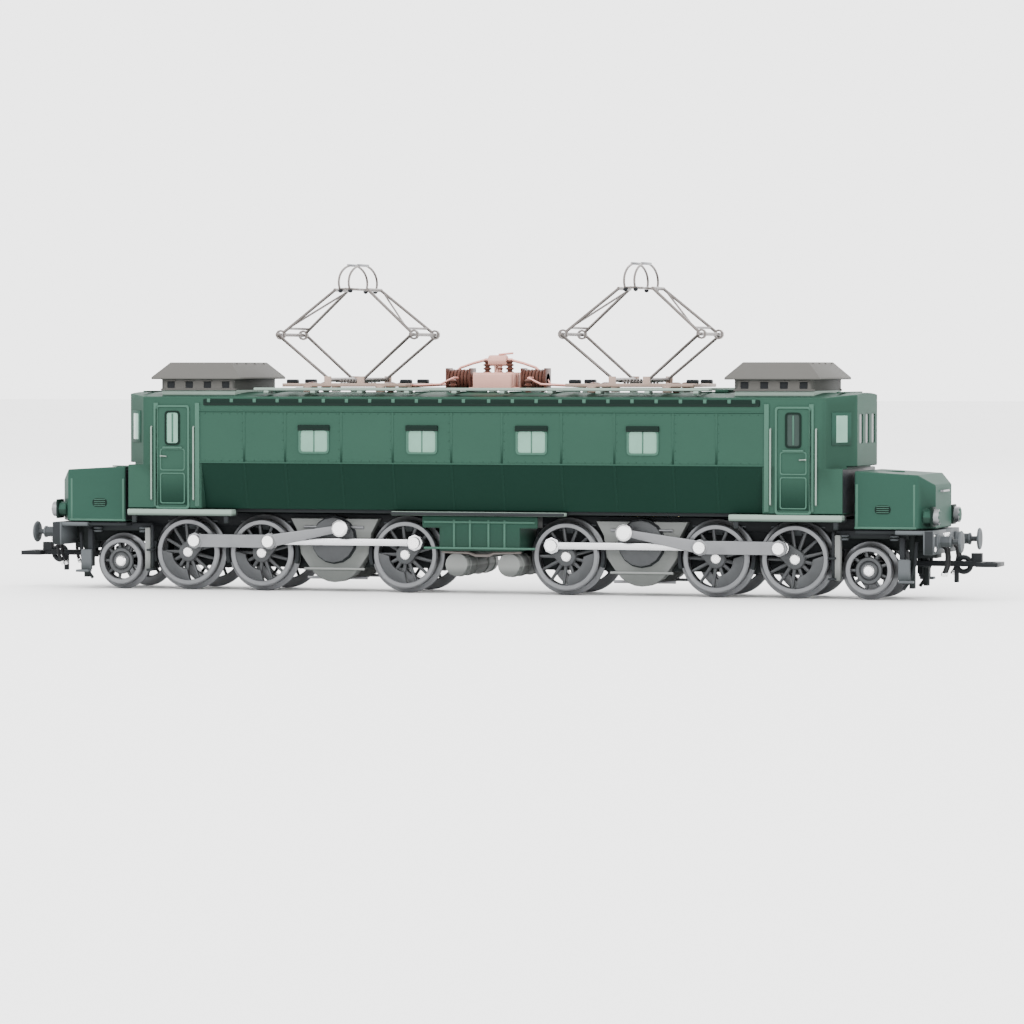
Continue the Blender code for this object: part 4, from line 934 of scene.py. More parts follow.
    def doors(self) -> None:
        """Cab doors with their frames, panels, windows, handles, sills and rails."""
        leaf, trims, dark, metal = (Workpiece() for _ in range(4))
        x, half = self.door_middle, self.door_width / 2
        wall, foot = self.wall, self.bottom + 0.4
        top = self.eave - 2.4
        leaf.box((x - half, x + half), (-wall - 0.12, -wall + 0.6), (self.waist - 9.6, top), 0.1)
        middle, size = (x, (foot + top) / 2), (2 * half, top - foot)
        framed(trims, Plane.XZ, middle, size, self.border, (0.5, 0.7), (-wall - 0.3, -wall + 0.3))
        for low, high in ((foot + 1.0, foot + 7.6), (foot + 8.6, foot + 13.2)):
            middle, size = (x, (low + high) / 2), (2 * half - 1.8, high - low)
            framed(trims, Plane.XZ, middle, size, 0.5, (0.4, 0.5), (-wall - 0.24, -wall))
        span = (-wall - 0.34, -wall + 0.2)
        middle = (x, self.door_window_z)
        framed(dark, Plane.XZ, middle, self.door_window, self.border, (0.5, 0.8), span)
        # The rear door glass takes the pale window finish, painted light; the front one takes the dark
        # cab glass, painted shade.
        for sign, finish in ((-1, "window"), (1, "cab_glass")):
            glass = Workpiece()
            shape = rounded_rectangle((sign * x, self.door_window_z), self.door_window, 0.5)
            glass.prism(shape, Plane.XZ, (-wall - 0.16, -wall + 1.2))
            end = "front" if sign > 0 else "rear"
            glass.mirrored("Y").done(f"cab_door_glass_{end}", finish, "body", "clear_glazing")
        trims.box((x - 0.2, x + 0.2), (-wall - 0.26, -wall), (34.4, 41.0), 0.06)
        trims.box((x - 2.4, x + 2.4), (-wall - 0.55, -wall + 0.1), (32.9, 33.4), 0.12)
        knob = x + half - 0.9
        metal.rod((knob, -wall - 0.1, 31.2), (knob, -wall - 0.5, 31.2), 0.22, sides=10)
        metal.tube([(knob, -wall - 0.45, 31.2), (knob - 1.4, -wall - 0.45, 31.1)], 0.16)
        for side in (-1, 1):
            rail_x = x + side * (half + 1.5)
            out, start, stop = -wall - self.rail_reach, foot + 1.6, foot + 18.5
            way = [(rail_x, -wall, start), (rail_x, out, start + 0.15)]
            way += [(rail_x, out, start + 0.9), (rail_x, out, stop - 0.9)]
            way += [(rail_x, out, stop - 0.15), (rail_x, -wall, stop)]
            metal.tube(way, self.rail)
        leaf.mirrored("XY").done("cab_doors", "body", "body", "body_green")
        trims.mirrored("XY").done("cab_door_frames", "trim", "body", "body_green")
        dark.mirrored("XY").done("cab_door_window_rims", "dark", "body", "body_green")
        metal.mirrored("XY").done("door_rails_and_handles", "board", "body", "rod_steel")

    def cab_ends(self) -> None:
        """End windows with their frames, corner windows, the end door and its rails."""
        glass, shaded, frames, metal = (Workpiece() for _ in range(4))
        for place in (-1, 0, 1):
            middle = (place * self.end_window_spacing * self.narrow, self.end_window_z)
            span = (self.front - 0.8, self.front - 0.02)
            pane = framed(frames, Plane.YZ, middle, self.end_window, self.border, (0.5, 0.8), span)
            shaded.prism(pane, Plane.YZ, (self.front - 1.2, self.front - 0.2))
        span = (self.front - 0.8, self.front - 0.06)
        framed(frames, Plane.YZ, (0, 37.0), self.end_door, 0.6, (0.5, 0.7), span)
        for y in (-3.1, 3.1):
            metal.tube([(self.front - 0.3, y, 31.2), (self.front - 0.3, y, 42.2)], self.rail)
        deep, wide = self.corner[0], self.corner[1] * self.narrow
        corner = Vector((self.front - deep / 2, -(self.wall - wide / 2), self.end_window_z))
        facing = Vector((wide, -deep, 0)).normalized()
        along = Vector((-facing.y, facing.x, 0))
        turn = Matrix((along, facing, AXES["z"])).transposed().to_4x4()
        for work, width, tall, reach in ((frames, 5.2, 7.4, 0.22), (glass, 3.0, 6.0, 0.3)):
            part = Workpiece().box((-width / 2, width / 2), (-0.7, reach), (-tall / 2, tall / 2))
            place = Matrix.Translation(corner) @ turn
            bmesh.ops.transform(part.mesh, matrix=place, verts=part.mesh.verts)
            work.absorb(part.mirrored("Y").mesh)
        dark = Workpiece()
        across = (-self.wall + 0.3, self.wall - 0.3)
        upright = (self.bottom + 0.3, self.waist - 0.5)
        dark.box((self.lower_end_x - 0.36, self.lower_end_x), across, upright, 0.1)
        dark.mirrored("X").done("body_end_plates", "black", "body", "body_green")
        shaded.mirrored("X").done("cab_end_glass", "cab_glass", "body", "clear_glazing")
        # Corner glass in the pale window finish: painted light.
        glass.mirrored("X").done("cab_corner_glass", "window", "body", "clear_glazing")
        frames.mirrored("X").done("cab_end_frames", "hood", "body", "body_green")
        metal.mirrored("X").done("cab_end_rails", "steel", "body", "rod_steel")

    def build(self) -> None:
        """Makes every piece of the body."""
        self.shell()
        self.seams_and_bands()
        self.rivets()
        self.gutter()
        self.windows()
        self.doors()
        self.cab_ends()


# --- Roof ---------------------------------------------------------------------------


@dataclass
class RoofGear:
    """Resistor housings, walkways, switchgear, chokes and the high-tension lines."""

    slats: int = 4
    slat_pitch: float = 4.5
    line_radius: float = 0.32
    pantograph_x: float = 34.0
    plank_gap: float = 0.25
    slot_z: Span = (46.7, 48.4)
    louvre_depth: Span = (-13.75, -12.6)
    seams: tuple[float, ...] = (6.5, 16.0, 51.5, 82.5)
    foot_x: float = 9.5
    foot_y: float = 4.6
    switch_posts: tuple[float, ...] = (-2.6, 0.2, 2.8)
    post_x: float = 9.0
    post_y: float = 5.8
    busbar_z: float = 53.4
    choke_turns: int = 7

    def housings(self) -> None:
        """The louvred resistor housings under their hipped covers."""
        for end in ENDS:
            node = f"resistor_housing_{end}"
            low, high = node_box(node)
            softened(node, "_casting", "roof", "body", "roof_grey", 0.14)
            middle = (low.x + high.x) / 2
            dark, pale = Workpiece(), Workpiece()
            for index in range(self.slats):
                x = middle + (index - (self.slats - 1) / 2) * self.slat_pitch
                top = self.slot_z[1]
                # Black patches stand for the louvre openings: painted shade inside them.
                dark.box((x - 0.9, x + 0.9), (-13.4, -12.3), self.slot_z, 0.15)
                pale.box((x - 1.2, x + 1.2), self.louvre_depth, (top, top + 0.3), 0.08)
            pale.box((middle - 9.2, middle + 9.2), (-13.7, -12.6), (46.3, 46.75), 0.1)
            seat = Workpiece().box((middle - 9.0, middle + 9.0), (-13.3, 13.3), (45.0, 46.5), 0.1)
            seat.done(f"housing_seat_{end}", "board", "body", "roof_grey")
            for y in (-9.0, -3.0):
                upright = (high.z - 1.2, high.z - 0.06)
                pale.box((middle - 8.0, middle + 8.0), (y - 0.2, y + 0.2), upright, 0.08)
            dark.mirrored("Y").done(f"louvre_slots_{end}", "black", "body", "roof_grey")
            pale.mirrored("Y").done(f"louvre_hoods_{end}", "roof", "body", "roof_grey")

    def walkways(self) -> None:
        """Planked walkway boards with brackets."""
        for side, sign in SIDES.items():
            node = f"roof_walkway_{side}"
            low, high = node_box(node)
            work = Workpiece()
            inner, outer = sorted((abs(low.y), abs(high.y)))
            wide = (outer - inner - self.plank_gap) / 2
            for start in (inner, inner + wide + self.plank_gap):
                across = (sign * start, sign * (start + wide))
                work.box((low.x, high.x), across, (high.z - 0.7, high.z))
            for index in range(10):
                x = low.x + 3 + index * (high.x - low.x - 6) / 9
                across = (sign * inner, sign * outer)
                work.box((x - 0.6, x + 0.6), across, (low.z, high.z - 0.6), 0.15)
            work.done(node + "_planks", "board", "body", "roof_grey", (node,))

    def roof_sheets(self) -> None:
        """Seams and hatches on the roof."""
        work = Workpiece()
        for x in self.seams:
            work.box((x - 0.3, x + 0.3), (-11.6, 11.6), (45.85, 46.22), 0.08)
        work.box((52.6, 55.8), (-5.0, 5.0), (45.8, 46.7), 0.25)
        work.mirrored("X").done("roof_seams_and_hatches", "body", "body", "body_green")

    def insulator(self, work: Workpiece, base: tuple, tall: float, radius: float = 1.0) -> None:
        """A ribbed insulator standing on a point.

        Args:
            work: The workpiece that takes it.
            base: The point under its middle.
            tall: Its height.
            radius: Radius of its ribs.
        """
        ribs = max(2, round(tall / 0.9))
        profile: Outline = [(0.0, 0.0), (radius * 0.8, 0.0)]
        for index in range(ribs):
            start = tall * index / ribs
            step = tall / ribs
            profile += [(radius * 0.6, start + step * 0.2), (radius, start + step * 0.45)]
            profile += [(radius, start + step * 0.7), (radius * 0.6, start + step * 0.95)]
        profile += [(0.0, tall)]
        work.turned(profile, "z", base, 20)

    def switchgear(self) -> None:
        """The main switch between its two chokes, with insulators and contact arms."""
        salmon, brown, bus = Workpiece(), Workpiece(), Workpiece()
        salmon.taken("main_switch", 0.25)
        salmon.box((-5.9, 5.9), (-4.0, 4.0), (46.4, 47.1), 0.2)
        for y in (-3.4, 0.0, 3.4):
            salmon.box((-4.9, 4.9), (y - 0.25, y + 0.25), (47.2, 50.5), 0.1)
        salmon.done("switch_case", "salmon", "body", "insulator_brown", ("main_switch",))
        for end, sign in ENDS.items():
            low, high = node_box(f"choke_coil_{end}")
            middle = (low + high) / 2
            coil = Workpiece()
            for index in range(self.choke_turns):
                x = low.x + 0.5 + index * (high.x - low.x - 1.0) / (self.choke_turns - 1)
                coil.ring((x, 0, middle.z), "x", 2.0, 0.38, 24)
            coil.rod((low.x, 0, middle.z), (high.x, 0, middle.z), 1.6, sides=20, soft=0.2)
            for x in (low.x + 0.2, high.x - 0.2):
                coil.box((x - 0.2, x + 0.2), (-2.3, 2.3), (low.z, high.z), 0.15)
            node = f"choke_coil_{end}"
            coil.done(f"choke_windings_{end}", "brown", "body", "insulator_brown", (node,))
            for y in (-self.post_y, self.post_y):
                self.insulator(brown, (sign * self.post_x, y, 46.0), 3.0, 0.9)
            for y in (-self.foot_y, self.foot_y):
                for x in (self.pantograph_x - self.foot_x, self.pantograph_x + self.foot_x):
                    self.insulator(brown, (sign * x, y, 45.9), 2.4, 1.15)
        for x in self.switch_posts:
            self.insulator(brown, (x, 0.0, 50.0), 3.4, 0.95)
        brown.done("roof_insulators", "brown", "body", "insulator_brown")
        top, post = self.busbar_z, self.post_x
        bus.tube([(-3.2, 0, top), (3.4, 0, top)], 0.34)
        bus.tube([(0.2, 0, top), (0.2, 0, 54.6), (3.6, 0, 54.9)], 0.24)
        for sign in ENDS.values():
            way = [(sign * 2.8, 0, top), (sign * 6.0, 0, 52.6), (sign * post, 0, 51.6)]
            way += [(sign * 11.4, 0, 49.4), (sign * 12.6, 0, 47.7), (sign * 21.0, 0, 47.3)]
            bus.tube(way, self.line_radius)
            head = (sign * post, -self.post_y, 49.2)
            bus.tube([head, (sign * post, self.post_y, 49.2)], 0.3)
            bus.tube([head, (sign * 12.0, -self.post_y, 47.8), (sign * 20.0, -5.4, 47.5)], 0.25)
        bus.done("roof_lines", "bus", "body", "insulator_brown")

    def build(self) -> None:
        """Makes every piece of the roof."""
        self.housings()
        self.walkways()
        self.roof_sheets()
        self.switchgear()


# --- Pantographs --------------------------------------------------------------------


@dataclass
class Pantographs:
    """Both folding pantographs, piece by piece on their own bodies."""

    spring_radius: float = 0.55
    spring_y: float = 3.0
    spring_z: float = 48.4
    coils: int = 9
    pad_y: float = 6.2
    carriers: tuple[float, ...] = (-8.6, -4.4, 4.4, 8.6)
    bow_half_width: float = 10.0
    bow_radius: float = 0.27
    bow_spacing: float = 1.2
    bow_drop: float = 1.7

    def base(self, end: str) -> None:
        """The base frame with its springs, pads and cross pieces.

        Args:
            end: Front or rear.
        """
        node = f"pantograph_base_{end}"
        low, high = node_box(node)
        middle = (low.x + high.x) / 2
        softened(node, "_frame", "pale", "body", "pantograph_wire", 0.1)
        springs, pads = Workpiece(), Workpiece()
        for y in (-self.spring_y, self.spring_y):
            for index in range(self.coils):
                x = middle - 3.0 + index * 6.0 / (self.coils - 1)
                springs.ring((x, y, self.spring_z), "x", self.spring_radius, 0.14, 14)
            ends = [(middle + reach, y, self.spring_z) for reach in (-4.4, 4.4)]
            springs.rod(*ends, 0.22, sides=10)
        springs.done(f"pantograph_springs_{end}", "wire", "body", "pantograph_wire")
        for x in (low.x + 1.2, high.x - 1.2):
            for y in (-self.pad_y, self.pad_y):
                pads.box((x - 1.3, x + 1.3), (y - 1.0, y + 1.0), (47.9, 48.9), 0.3)
        pads.done(f"pantograph_pads_{end}", "black", "body", "pantograph_wire")

    def arms(self, end: str) -> None:
        """The tubular arms and the collector head.

        Args:
            end: Front or rear.
        """
        for place in ("outer", "inner"):
            for kind in ("lower", "upper"):
                node = f"pantograph_{kind}_arm_{end}_{place}"
                softened(node, "_tubes", "wire", node, "pantograph_wire", 0.0, 60)
        self.collector(end)

    def collector(self, end: str) -> None:
        """The collector head: two round bows with contact strips, and their carrier.

        Args:
            end: Front or rear.
        """
        node = f"pantograph_head_{end}"
        low, high = node_box(node)
        middle = (low.x + high.x) / 2
        bows, strips, knobs = Workpiece(), Workpiece(), Workpiece()
        foot = low.z + 0.45
        rise = high.z - foot - self.bow_radius - self.bow_drop
        for x in (middle - self.bow_spacing, middle + self.bow_spacing):
            angles = [math.radians(-28 + 236 * step / 22) for step in range(23)]
            way = [
                (x, self.bow_half_width * math.cos(a), foot + self.bow_drop + rise * math.sin(a))
                for a in angles
            ]
            bows.tube(way, self.bow_radius)
            strips.box((x - 0.38, x + 0.38), (-3.4, 3.4), (high.z - 0.62, high.z - 0.02), 0.12)
            for y in (way[0][1], way[-1][1]):
                knobs.ball((x, y, way[0][2]), (0.55, 0.7, 0.5))
        for y in self.carriers:
            bows.tube([(middle - 1.6, y, foot + 0.2), (middle + 1.6, y, foot + 0.2)], 0.24)
        bows.tube([(middle, -9.0, foot + 0.2), (middle, 9.0, foot + 0.2)], 0.3)
        bows.done(node + "_bows", "wire", node, "pantograph_wire", (node,))
        strips.done(f"collector_strips_{end}", "plate", node, "pantograph_wire")
        knobs.done(f"collector_knobs_{end}", "black", node, "pantograph_wire")

    def build(self) -> None:
        """Makes both pantographs."""
        for end in ENDS:
            self.base(end)
            self.arms(end)


# --- Underframe on the body ---------------------------------------------------------


@dataclass
class Underframe:
    """Footboards, steps, the transformer case and air tanks carried by the body."""

    board_x: Span = (58.9, 84.7)
    board_y: Span = (-17.0, -13.9)
    bracket_x: Span = (60.5, 83.2)
    tank_x: float = 6.25
    tank_z: float = 6.8
    tank_straps: tuple[float, ...] = (-9.2, -4.0, 4.0, 9.2)
    rib_x: tuple[float, ...] = (2.2, 6.0)

    def chassis(self) -> None:
        """The chassis casting and the pale treads of its footboards."""
        Workpiece().taken("chassis_frame", 0.12, (1, 0.985, 1)).done(
            "chassis_casting", "dusk", "body", "frame_grey", ("chassis_frame",)
        )
        treads = Workpiece()
        treads.box(self.board_x, self.board_y, (17.5, 18.95), 0.25)
        treads.box((0, 20.6), (-15.9, -13.9), (18.0, 18.9), 0.2)
        treads.mirrored("XY").done("footboard_treads", "board", "body", "body_green")
        steps = Workpiece()
        for x in self.bracket_x:
            steps.box((x - 0.5, x + 0.5), (-16.6, -15.6), (15.8, 17.8), 0.15)
        steps.mirrored("XY").done("footboard_brackets", "dusk", "body", "frame_grey")

    def transformer(self) -> None:
        """The transformer case with ribs and covers, and the strapped tanks under it."""
        low, high = node_box("transformer_box")
        case = Workpiece()
        across, upright = (low.y - 0.3, high.y + 0.3), (low.z + 0.6, high.z - 0.8)
        for x in self.rib_x:
            case.box((x - 0.25, x + 0.25), across, upright, 0.1)
        case.mirrored("X")
        for z in (low.z + 0.4, high.z - 1.6):
            for y in (low.y - 0.4, high.y - 0.3):
                case.box((low.x + 0.5, high.x - 0.5), (y, y + 0.7), (z, z + 0.5), 0.12)
        case.done("transformer_ribs", "trim", "body", "underframe_green")
        Workpiece().taken("transformer_box", 0.25).done(
            "transformer_case", "case", "body", "underframe_green", ("transformer_box",)
        )
        low, high = node_box("air_tanks")
        tanks = Workpiece().taken("air_tanks", 0.3)
        for x in (-self.tank_x, self.tank_x):
            for y in self.tank_straps:
                tanks.ring((x, y, self.tank_z), "y", 2.66, 0.2, 24)
            tanks.ball((x, low.y + 0.6, self.tank_z), (1.9, 0.58, 1.9))
        tanks.done("brake_air_tanks", "cover", "body", "frame_grey", ("air_tanks",))
        pipes = Workpiece()
        for y in (-12.4, 12.4):
            half = [(9.4, y, 9.8), (3.0, y, 9.6), (1.5, y, 9.0)]
            pipes.tube([(-x, y, z) for x, y, z in half] + half[::-1], 0.4)
        pipes.done("tank_pipes", "wire", "body", "frame_grey")

    def drive(self) -> None:
        """Better finishes for the CAD pieces that are inside."""
        for node, finish in (
            ("motor", "motor"),
            ("motor_shaft", "steel"),
            ("cardan_shaft", "steel"),
            ("worm", "brass"),
            ("circuit_board", "circuit"),
        ):
            slots = frame["nodes"][node].data.materials
            slots.clear()
            slots.append(finish_material(finish))

    def build(self) -> None:
        """Makes every piece under the body."""
        self.chassis()
        self.transformer()
        self.drive()


# --- Bogies -------------------------------------------------------------------------


def spun(work: Workpiece, profile: Outline, sign: int, centre: Vector, steps: int) -> None:
    """Adds a turned shape on an axle or pin, drawn for the far side and put on either.

    Args:
        work: The workpiece that takes it.
        profile: Points of (radius, distance from the middle plane).
        sign: 1 on the far side and -1 on the near one.
        centre: The middle of the axle or pin.
        steps: Faces round it.
    """
    mirrored = [(radius, sign * along) for radius, along in profile]
    work.turned(mirrored, "y", (centre.x, 0, centre.z), steps)


@dataclass
class Wheelset:
    """Two spoked wheels on an axle, with tyre, hub, spokes, counterweight and crank."""

    tread: float
    flange: float
    spokes: int
    hub: float
    crank: bool
    inner: float = 7.0
    width: float = 3.0
    rim: float = 1.25
    spoke_radius: float = 0.36
    axle_radius: float = 1.0
    pin_boss: float = 1.75
    weight_half_angle: float = 48.0

    def build(self, node: str, joint: str, cranks: dict[str, Vector], reach: float) -> None:
        """Makes a wheelset.

        Args:
            node: The CAD node, which is also its body.
            joint: The joint that it turns on.
            cranks: Offset of the crank pin from the axle by side.
            reach: How far out the pin's head starts, from the middle plane.
        """
        centre = joint_place(joint)
        tyres, centres, pins = Workpiece(), Workpiece(), Workpiece()
        outer = self.inner + self.width
        inside = self.tread - self.rim
        for side, sign in SIDES.items():
            section = [
                (inside, self.inner + 0.3),
                (inside, outer - 0.15),
                (inside + 0.15, outer),
                (self.tread - 0.3, outer),
                (self.tread, outer - 0.3),
                (self.tread, self.inner + 1.0),
                (self.tread + 0.35, self.inner + 0.75),
                (self.tread + self.flange - 0.15, self.inner + 0.6),
                (self.tread + self.flange, self.inner + 0.4),
                (self.tread + self.flange - 0.1, self.inner + 0.1),
                (self.tread + 0.3, self.inner),
                (inside + 0.3, self.inner),
                (inside, self.inner + 0.3),
            ]
            spun(tyres, section, sign, centre, 56)
            face = outer - 0.55
            middle = Vector((centre.x, sign * (face - 0.5), centre.z))
            for index in range(self.spokes):
                angle = TURN * (index + 0.5) / self.spokes
                out = Vector((math.cos(angle), 0, math.sin(angle)))
                start = middle + out * (self.hub * 0.7)
                end = middle + out * (inside + 0.2)
                centres.rod(start, end, self.spoke_radius * 1.35, self.spoke_radius, 8)
            hub = [
                (0.0, self.inner - 0.4),
                (self.hub - 0.3, self.inner - 0.4),
                (self.hub, self.inner),
                (self.hub, outer - 0.35),
                (self.hub - 0.3, outer - 0.1),
                (0.0, outer - 0.1),
            ]
            spun(centres, hub, sign, centre, 24)
            cap = [(0.0, outer - 0.3), (1.25, outer - 0.3), (1.25, outer)]
            cap += [(0.95, outer + 0.3), (0.0, outer + 0.38)]
            spun(pins, cap, sign, centre, 20)
            if not self.crank:
                top = outer - 0.2
                collar = [(2.0, outer - 0.5), (2.3, top), (2.9, top), (3.1, outer - 0.5)]
                spun(centres, collar + collar[:1], sign, centre, 28)
                continue
            offset = cranks[side]
            heading = math.degrees(math.atan2(offset.z, offset.x))
            self.counterweight(centres, centre, heading + 180, inside, sign, face)
            pin = centre + offset
            web = arc((centre.x, centre.z), self.hub * 0.95, heading + 90, heading + 270, 8)
            web += arc((pin.x, pin.z), self.pin_boss, heading - 90, heading + 90, 8)
            centres.prism(web, Plane.XZ, (sign * (outer - 1.2), sign * (outer + 0.1)), 0.15)
            boss = [(0.0, outer - 0.2), (1.6, outer - 0.2), (1.6, outer + 0.3)]
            boss += [(1.4, outer + 0.4), (0.8, outer + 0.4)]
            head = [(0.8, reach + 0.3), (1.3, reach + 0.3), (1.4, reach + 0.45)]
            head += [(1.3, reach + 0.8), (0.0, reach + 0.8)]
            spun(pins, boss + head, sign, pin, 20)
        ends = [(centre.x, side * self.inner, centre.z) for side in (-1, 1)]
        centres.rod(*ends, self.axle_radius, sides=16)
        tyres.done(node + "_tyres", "tyre", node, "wheel_grey", (node,))
        centres.done(node + "_centres", "wheel", node, "wheel_grey")
        pins.done(node + "_pins", "bright", node, "rod_steel")

    def counterweight(
        self, work: Workpiece, centre: Vector, heading: float, inside: float, sign: int, face: float
    ) -> None:
        """The solid segment opposite the crank pin.

        Args:
            work: The workpiece that takes it.
            centre: The middle of the axle.
            heading: Where it points, in degrees.
            inside: Inner radius of the tyre.
            sign: 1 on the far side and -1 on the near one.
            face: Where the spokes' outer face is.
        """
        middle = (centre.x, centre.z)
        wide, narrow = self.weight_half_angle, self.weight_half_angle - 8
        outline = arc(middle, inside + 0.1, heading - wide, heading + wide, 12)
        outline += arc(middle, inside * 0.62, heading + narrow, heading - narrow, 6)
        work.prism(outline, Plane.XZ, (sign * (face - 1.0), sign * (face + 0.35)), 0.12)


@dataclass
class Bogie:
    """One motor bogie: frame, brakes, springs, hood, buffers, coupler, wheels and rods."""

    end: str
    inner_rod_reach: float = 11.5
    outer_rod_reach: float = 12.8
    driver_tread: float = 7.75
    pony_tread: float = 5.45
    flange: float = 1.1
    lamp: tuple[float, float, float] = (104.0, 10.9, 18.6)
    hoses: Span = (4.6, 7.0)
    plate_gap: float = 9.15
    shoe: Span = (8.15, 9.0)
    leaves: int = 4
    leaf_reach: float = 6.2
    leaf_top: float = 16.1
    pipe_x: tuple[float, ...] = (29.5, 36.0, 44.0)
    grille_z: float = 20.2
    step_rail: Span = (103.9, 104.5)

    def __post_init__(self) -> None:
        """Takes the axles' places from the joints."""
        self.sign = ENDS[self.end]
        self.body = f"bogie_{self.end}"
        main = f"wheel_spin_{self.end}"
        self.joints = {"inner": main + "_inner", "middle": main, "outer": main + "_outer"}
        self.axles = {name: joint_place(joint) for name, joint in self.joints.items()}
        self.pony = joint_place(f"pony_spin_{self.end}")
        self.jack = joint_place(f"jackshaft_spin_{self.end}")

    def across(self, near: float, far: float) -> Span:
        """A span along X given by distances from the locomotive's middle."""
        return (self.sign * near, self.sign * far)

    def near_side(self, way: list[tuple]) -> list[tuple]:
        """Points given by distances from the middle, put on the near side of this bogie."""
        return [(self.sign * x, -y, z) for x, y, z in way]

    def crank_offsets(self) -> dict[str, Vector]:
        """Offset of the crank pins from their axles, by side.

        Returns:
            The offsets, in millimetres.
        """
        offsets = {}
        for side in SIDES:
            pin = joint_place(f"rod_turn_{self.end}_outer_{side}")
            offset = pin - self.axles["outer"]
            offset.y = 0
            offsets[side] = offset
        return offsets

    def frame_casting(self) -> None:
        """The CAD frame, softened, and the shaped side plates between the wheels."""
        node = f"bogie_frame_{self.end}"
        softened(node, "_casting", "dusk", self.body, "frame_grey", 0.15)
        inner, middle = abs(self.axles["inner"].x), abs(self.axles["middle"].x)
        start, stop = inner + self.plate_gap, middle - self.plate_gap
        half = (start + stop) / 2
        plates = Workpiece()
        bowl = [(self.sign * (stop + 2.4), 16.9), (self.sign * (start - 2.4), 16.9)]
        bowl += [(self.sign * (start - 0.6), 13.6), (self.sign * start, 8.8)]
        bowl += [(self.sign * (half + x), z) for x, z in arc((0, 9.4), 7.2, 215, 325, 8)]
        bowl += [(self.sign * stop, 8.8), (self.sign * (stop + 0.6), 13.6)]
        if self.sign < 0:
            bowl.reverse()
        plates.prism(bowl, Plane.XZ, (-8.9, -5.7), 0.25)
        plates.box(self.across(start + 1.0, stop - 1.0), (-9.15, -8.6), (5.0, 5.6), 0.12)
        outer_end = abs(self.axles["outer"].x) + 9.2
        plates.box(self.across(outer_end, outer_end + 1.3), (-10.6, -8.6), (4.2, 14.4), 0.25)
        walls = Workpiece()
        walls.box(self.across(12.6, 90.0), (-6.6, -6.0), (14.9, 17.9), 0.12)
        walls.mirrored("Y").done(f"bogie_inner_walls_{self.end}", "black", self.body, "frame_grey")
        plates.mirrored("Y").done(f"bogie_side_plates_{self.end}", "cover", self.body, "frame_grey")

    def springs_and_brakes(self) -> None:
        """Leaf springs over the axles, brake hangers with shoes, and pipes."""
        springs, brakes = Workpiece(), Workpiece()
        for name, axle in self.axles.items():
            x = abs(axle.x)
            for leaf in range(self.leaves):
                reach = self.leaf_reach - leaf * 1.2
                z = self.leaf_top - leaf * 0.42
                springs.box(self.across(x - reach, x + reach), (-6.9, -5.6), (z - 0.34, z), 0.1)
            springs.box(self.across(x - 0.8, x + 0.8), (-7.0, -5.4), (14.0, 16.6), 0.15)
            for way in (-1, 1):
                if name != "middle" and way < 0:
                    continue
                facing = 0 if way * self.sign > 0 else 180
                near, far = self.shoe
                shoe = arc((axle.x, axle.z), near, facing - 16, facing + 16, 6)
                shoe += arc((axle.x, axle.z), far, facing + 16, facing - 16, 6)
                brakes.prism(shoe, Plane.XZ, (-9.6, -8.1), 0.12)
        pony = abs(self.pony.x)
        brakes.box(self.across(pony - 8.3, pony - 7.7), (-10.4, -9.4), (4.6, 15.0), 0.15)
        for z in (4.4, 9.0):
            brakes.box(self.across(pony - 8.8, pony - 7.2), (-12.0, -9.4), (z, z + 0.5), 0.15)
        pipes = Workpiece()
        for z, y in ((3.2, 6.4), (14.9, 9.0)):
            pipes.tube(self.near_side([(x, y, z) for x in self.pipe_x]), 0.35)
        pipes.mirrored("Y").done(f"brake_rods_{self.end}", "plate", self.body, "frame_grey")
        springs.mirrored("Y").done(f"axle_springs_{self.end}", "frame", self.body, "frame_grey")
        brakes.mirrored("Y").done(f"brake_shoes_{self.end}", "dusk", self.body, "frame_grey")

    def pony_surround(self) -> None:
        """Axle-box plates, springs, sand pipes and steps round the pony wheels."""
        x = abs(self.pony.x)
        work, pale = Workpiece(), Workpiece()
        work.box(self.across(x - 7.6, x + 9.0), (-9.0, -8.0), (13.6, 15.4), 0.25)
        work.box(self.across(x + 7.0, x + 8.2), (-10.2, -8.4), (5.2, 14.0), 0.2)
        pale.box(self.across(x + 6.9, x + 9.6), (-11.2, -10.2), (4.4, 9.2), 0.3)
        pale.box(self.across(x + 7.2, x + 10.4), (-12.4, -10.0), (3.9, 4.5), 0.2)
        for sx in (-5.6, 5.8):
            for z in (14.2, 13.5):
                pale.ring((self.sign * (x + sx), -9.6, z), "z", 0.8, 0.25, 16)
        way = [(x + 10.6, 8.6, 13.0), (x + 10.2, 8.6, 8.0), (x + 9.0, 8.6, 4.4), (x + 7.6, 8.5, 2.4)]
        work.tube(self.near_side(way), 0.4)
        work.mirrored("Y").done(f"pony_side_frames_{self.end}", "dusk", self.body, "frame_grey")
        pale.mirrored("Y").done(f"pony_axle_boxes_{self.end}", "frame", self.body, "frame_grey")

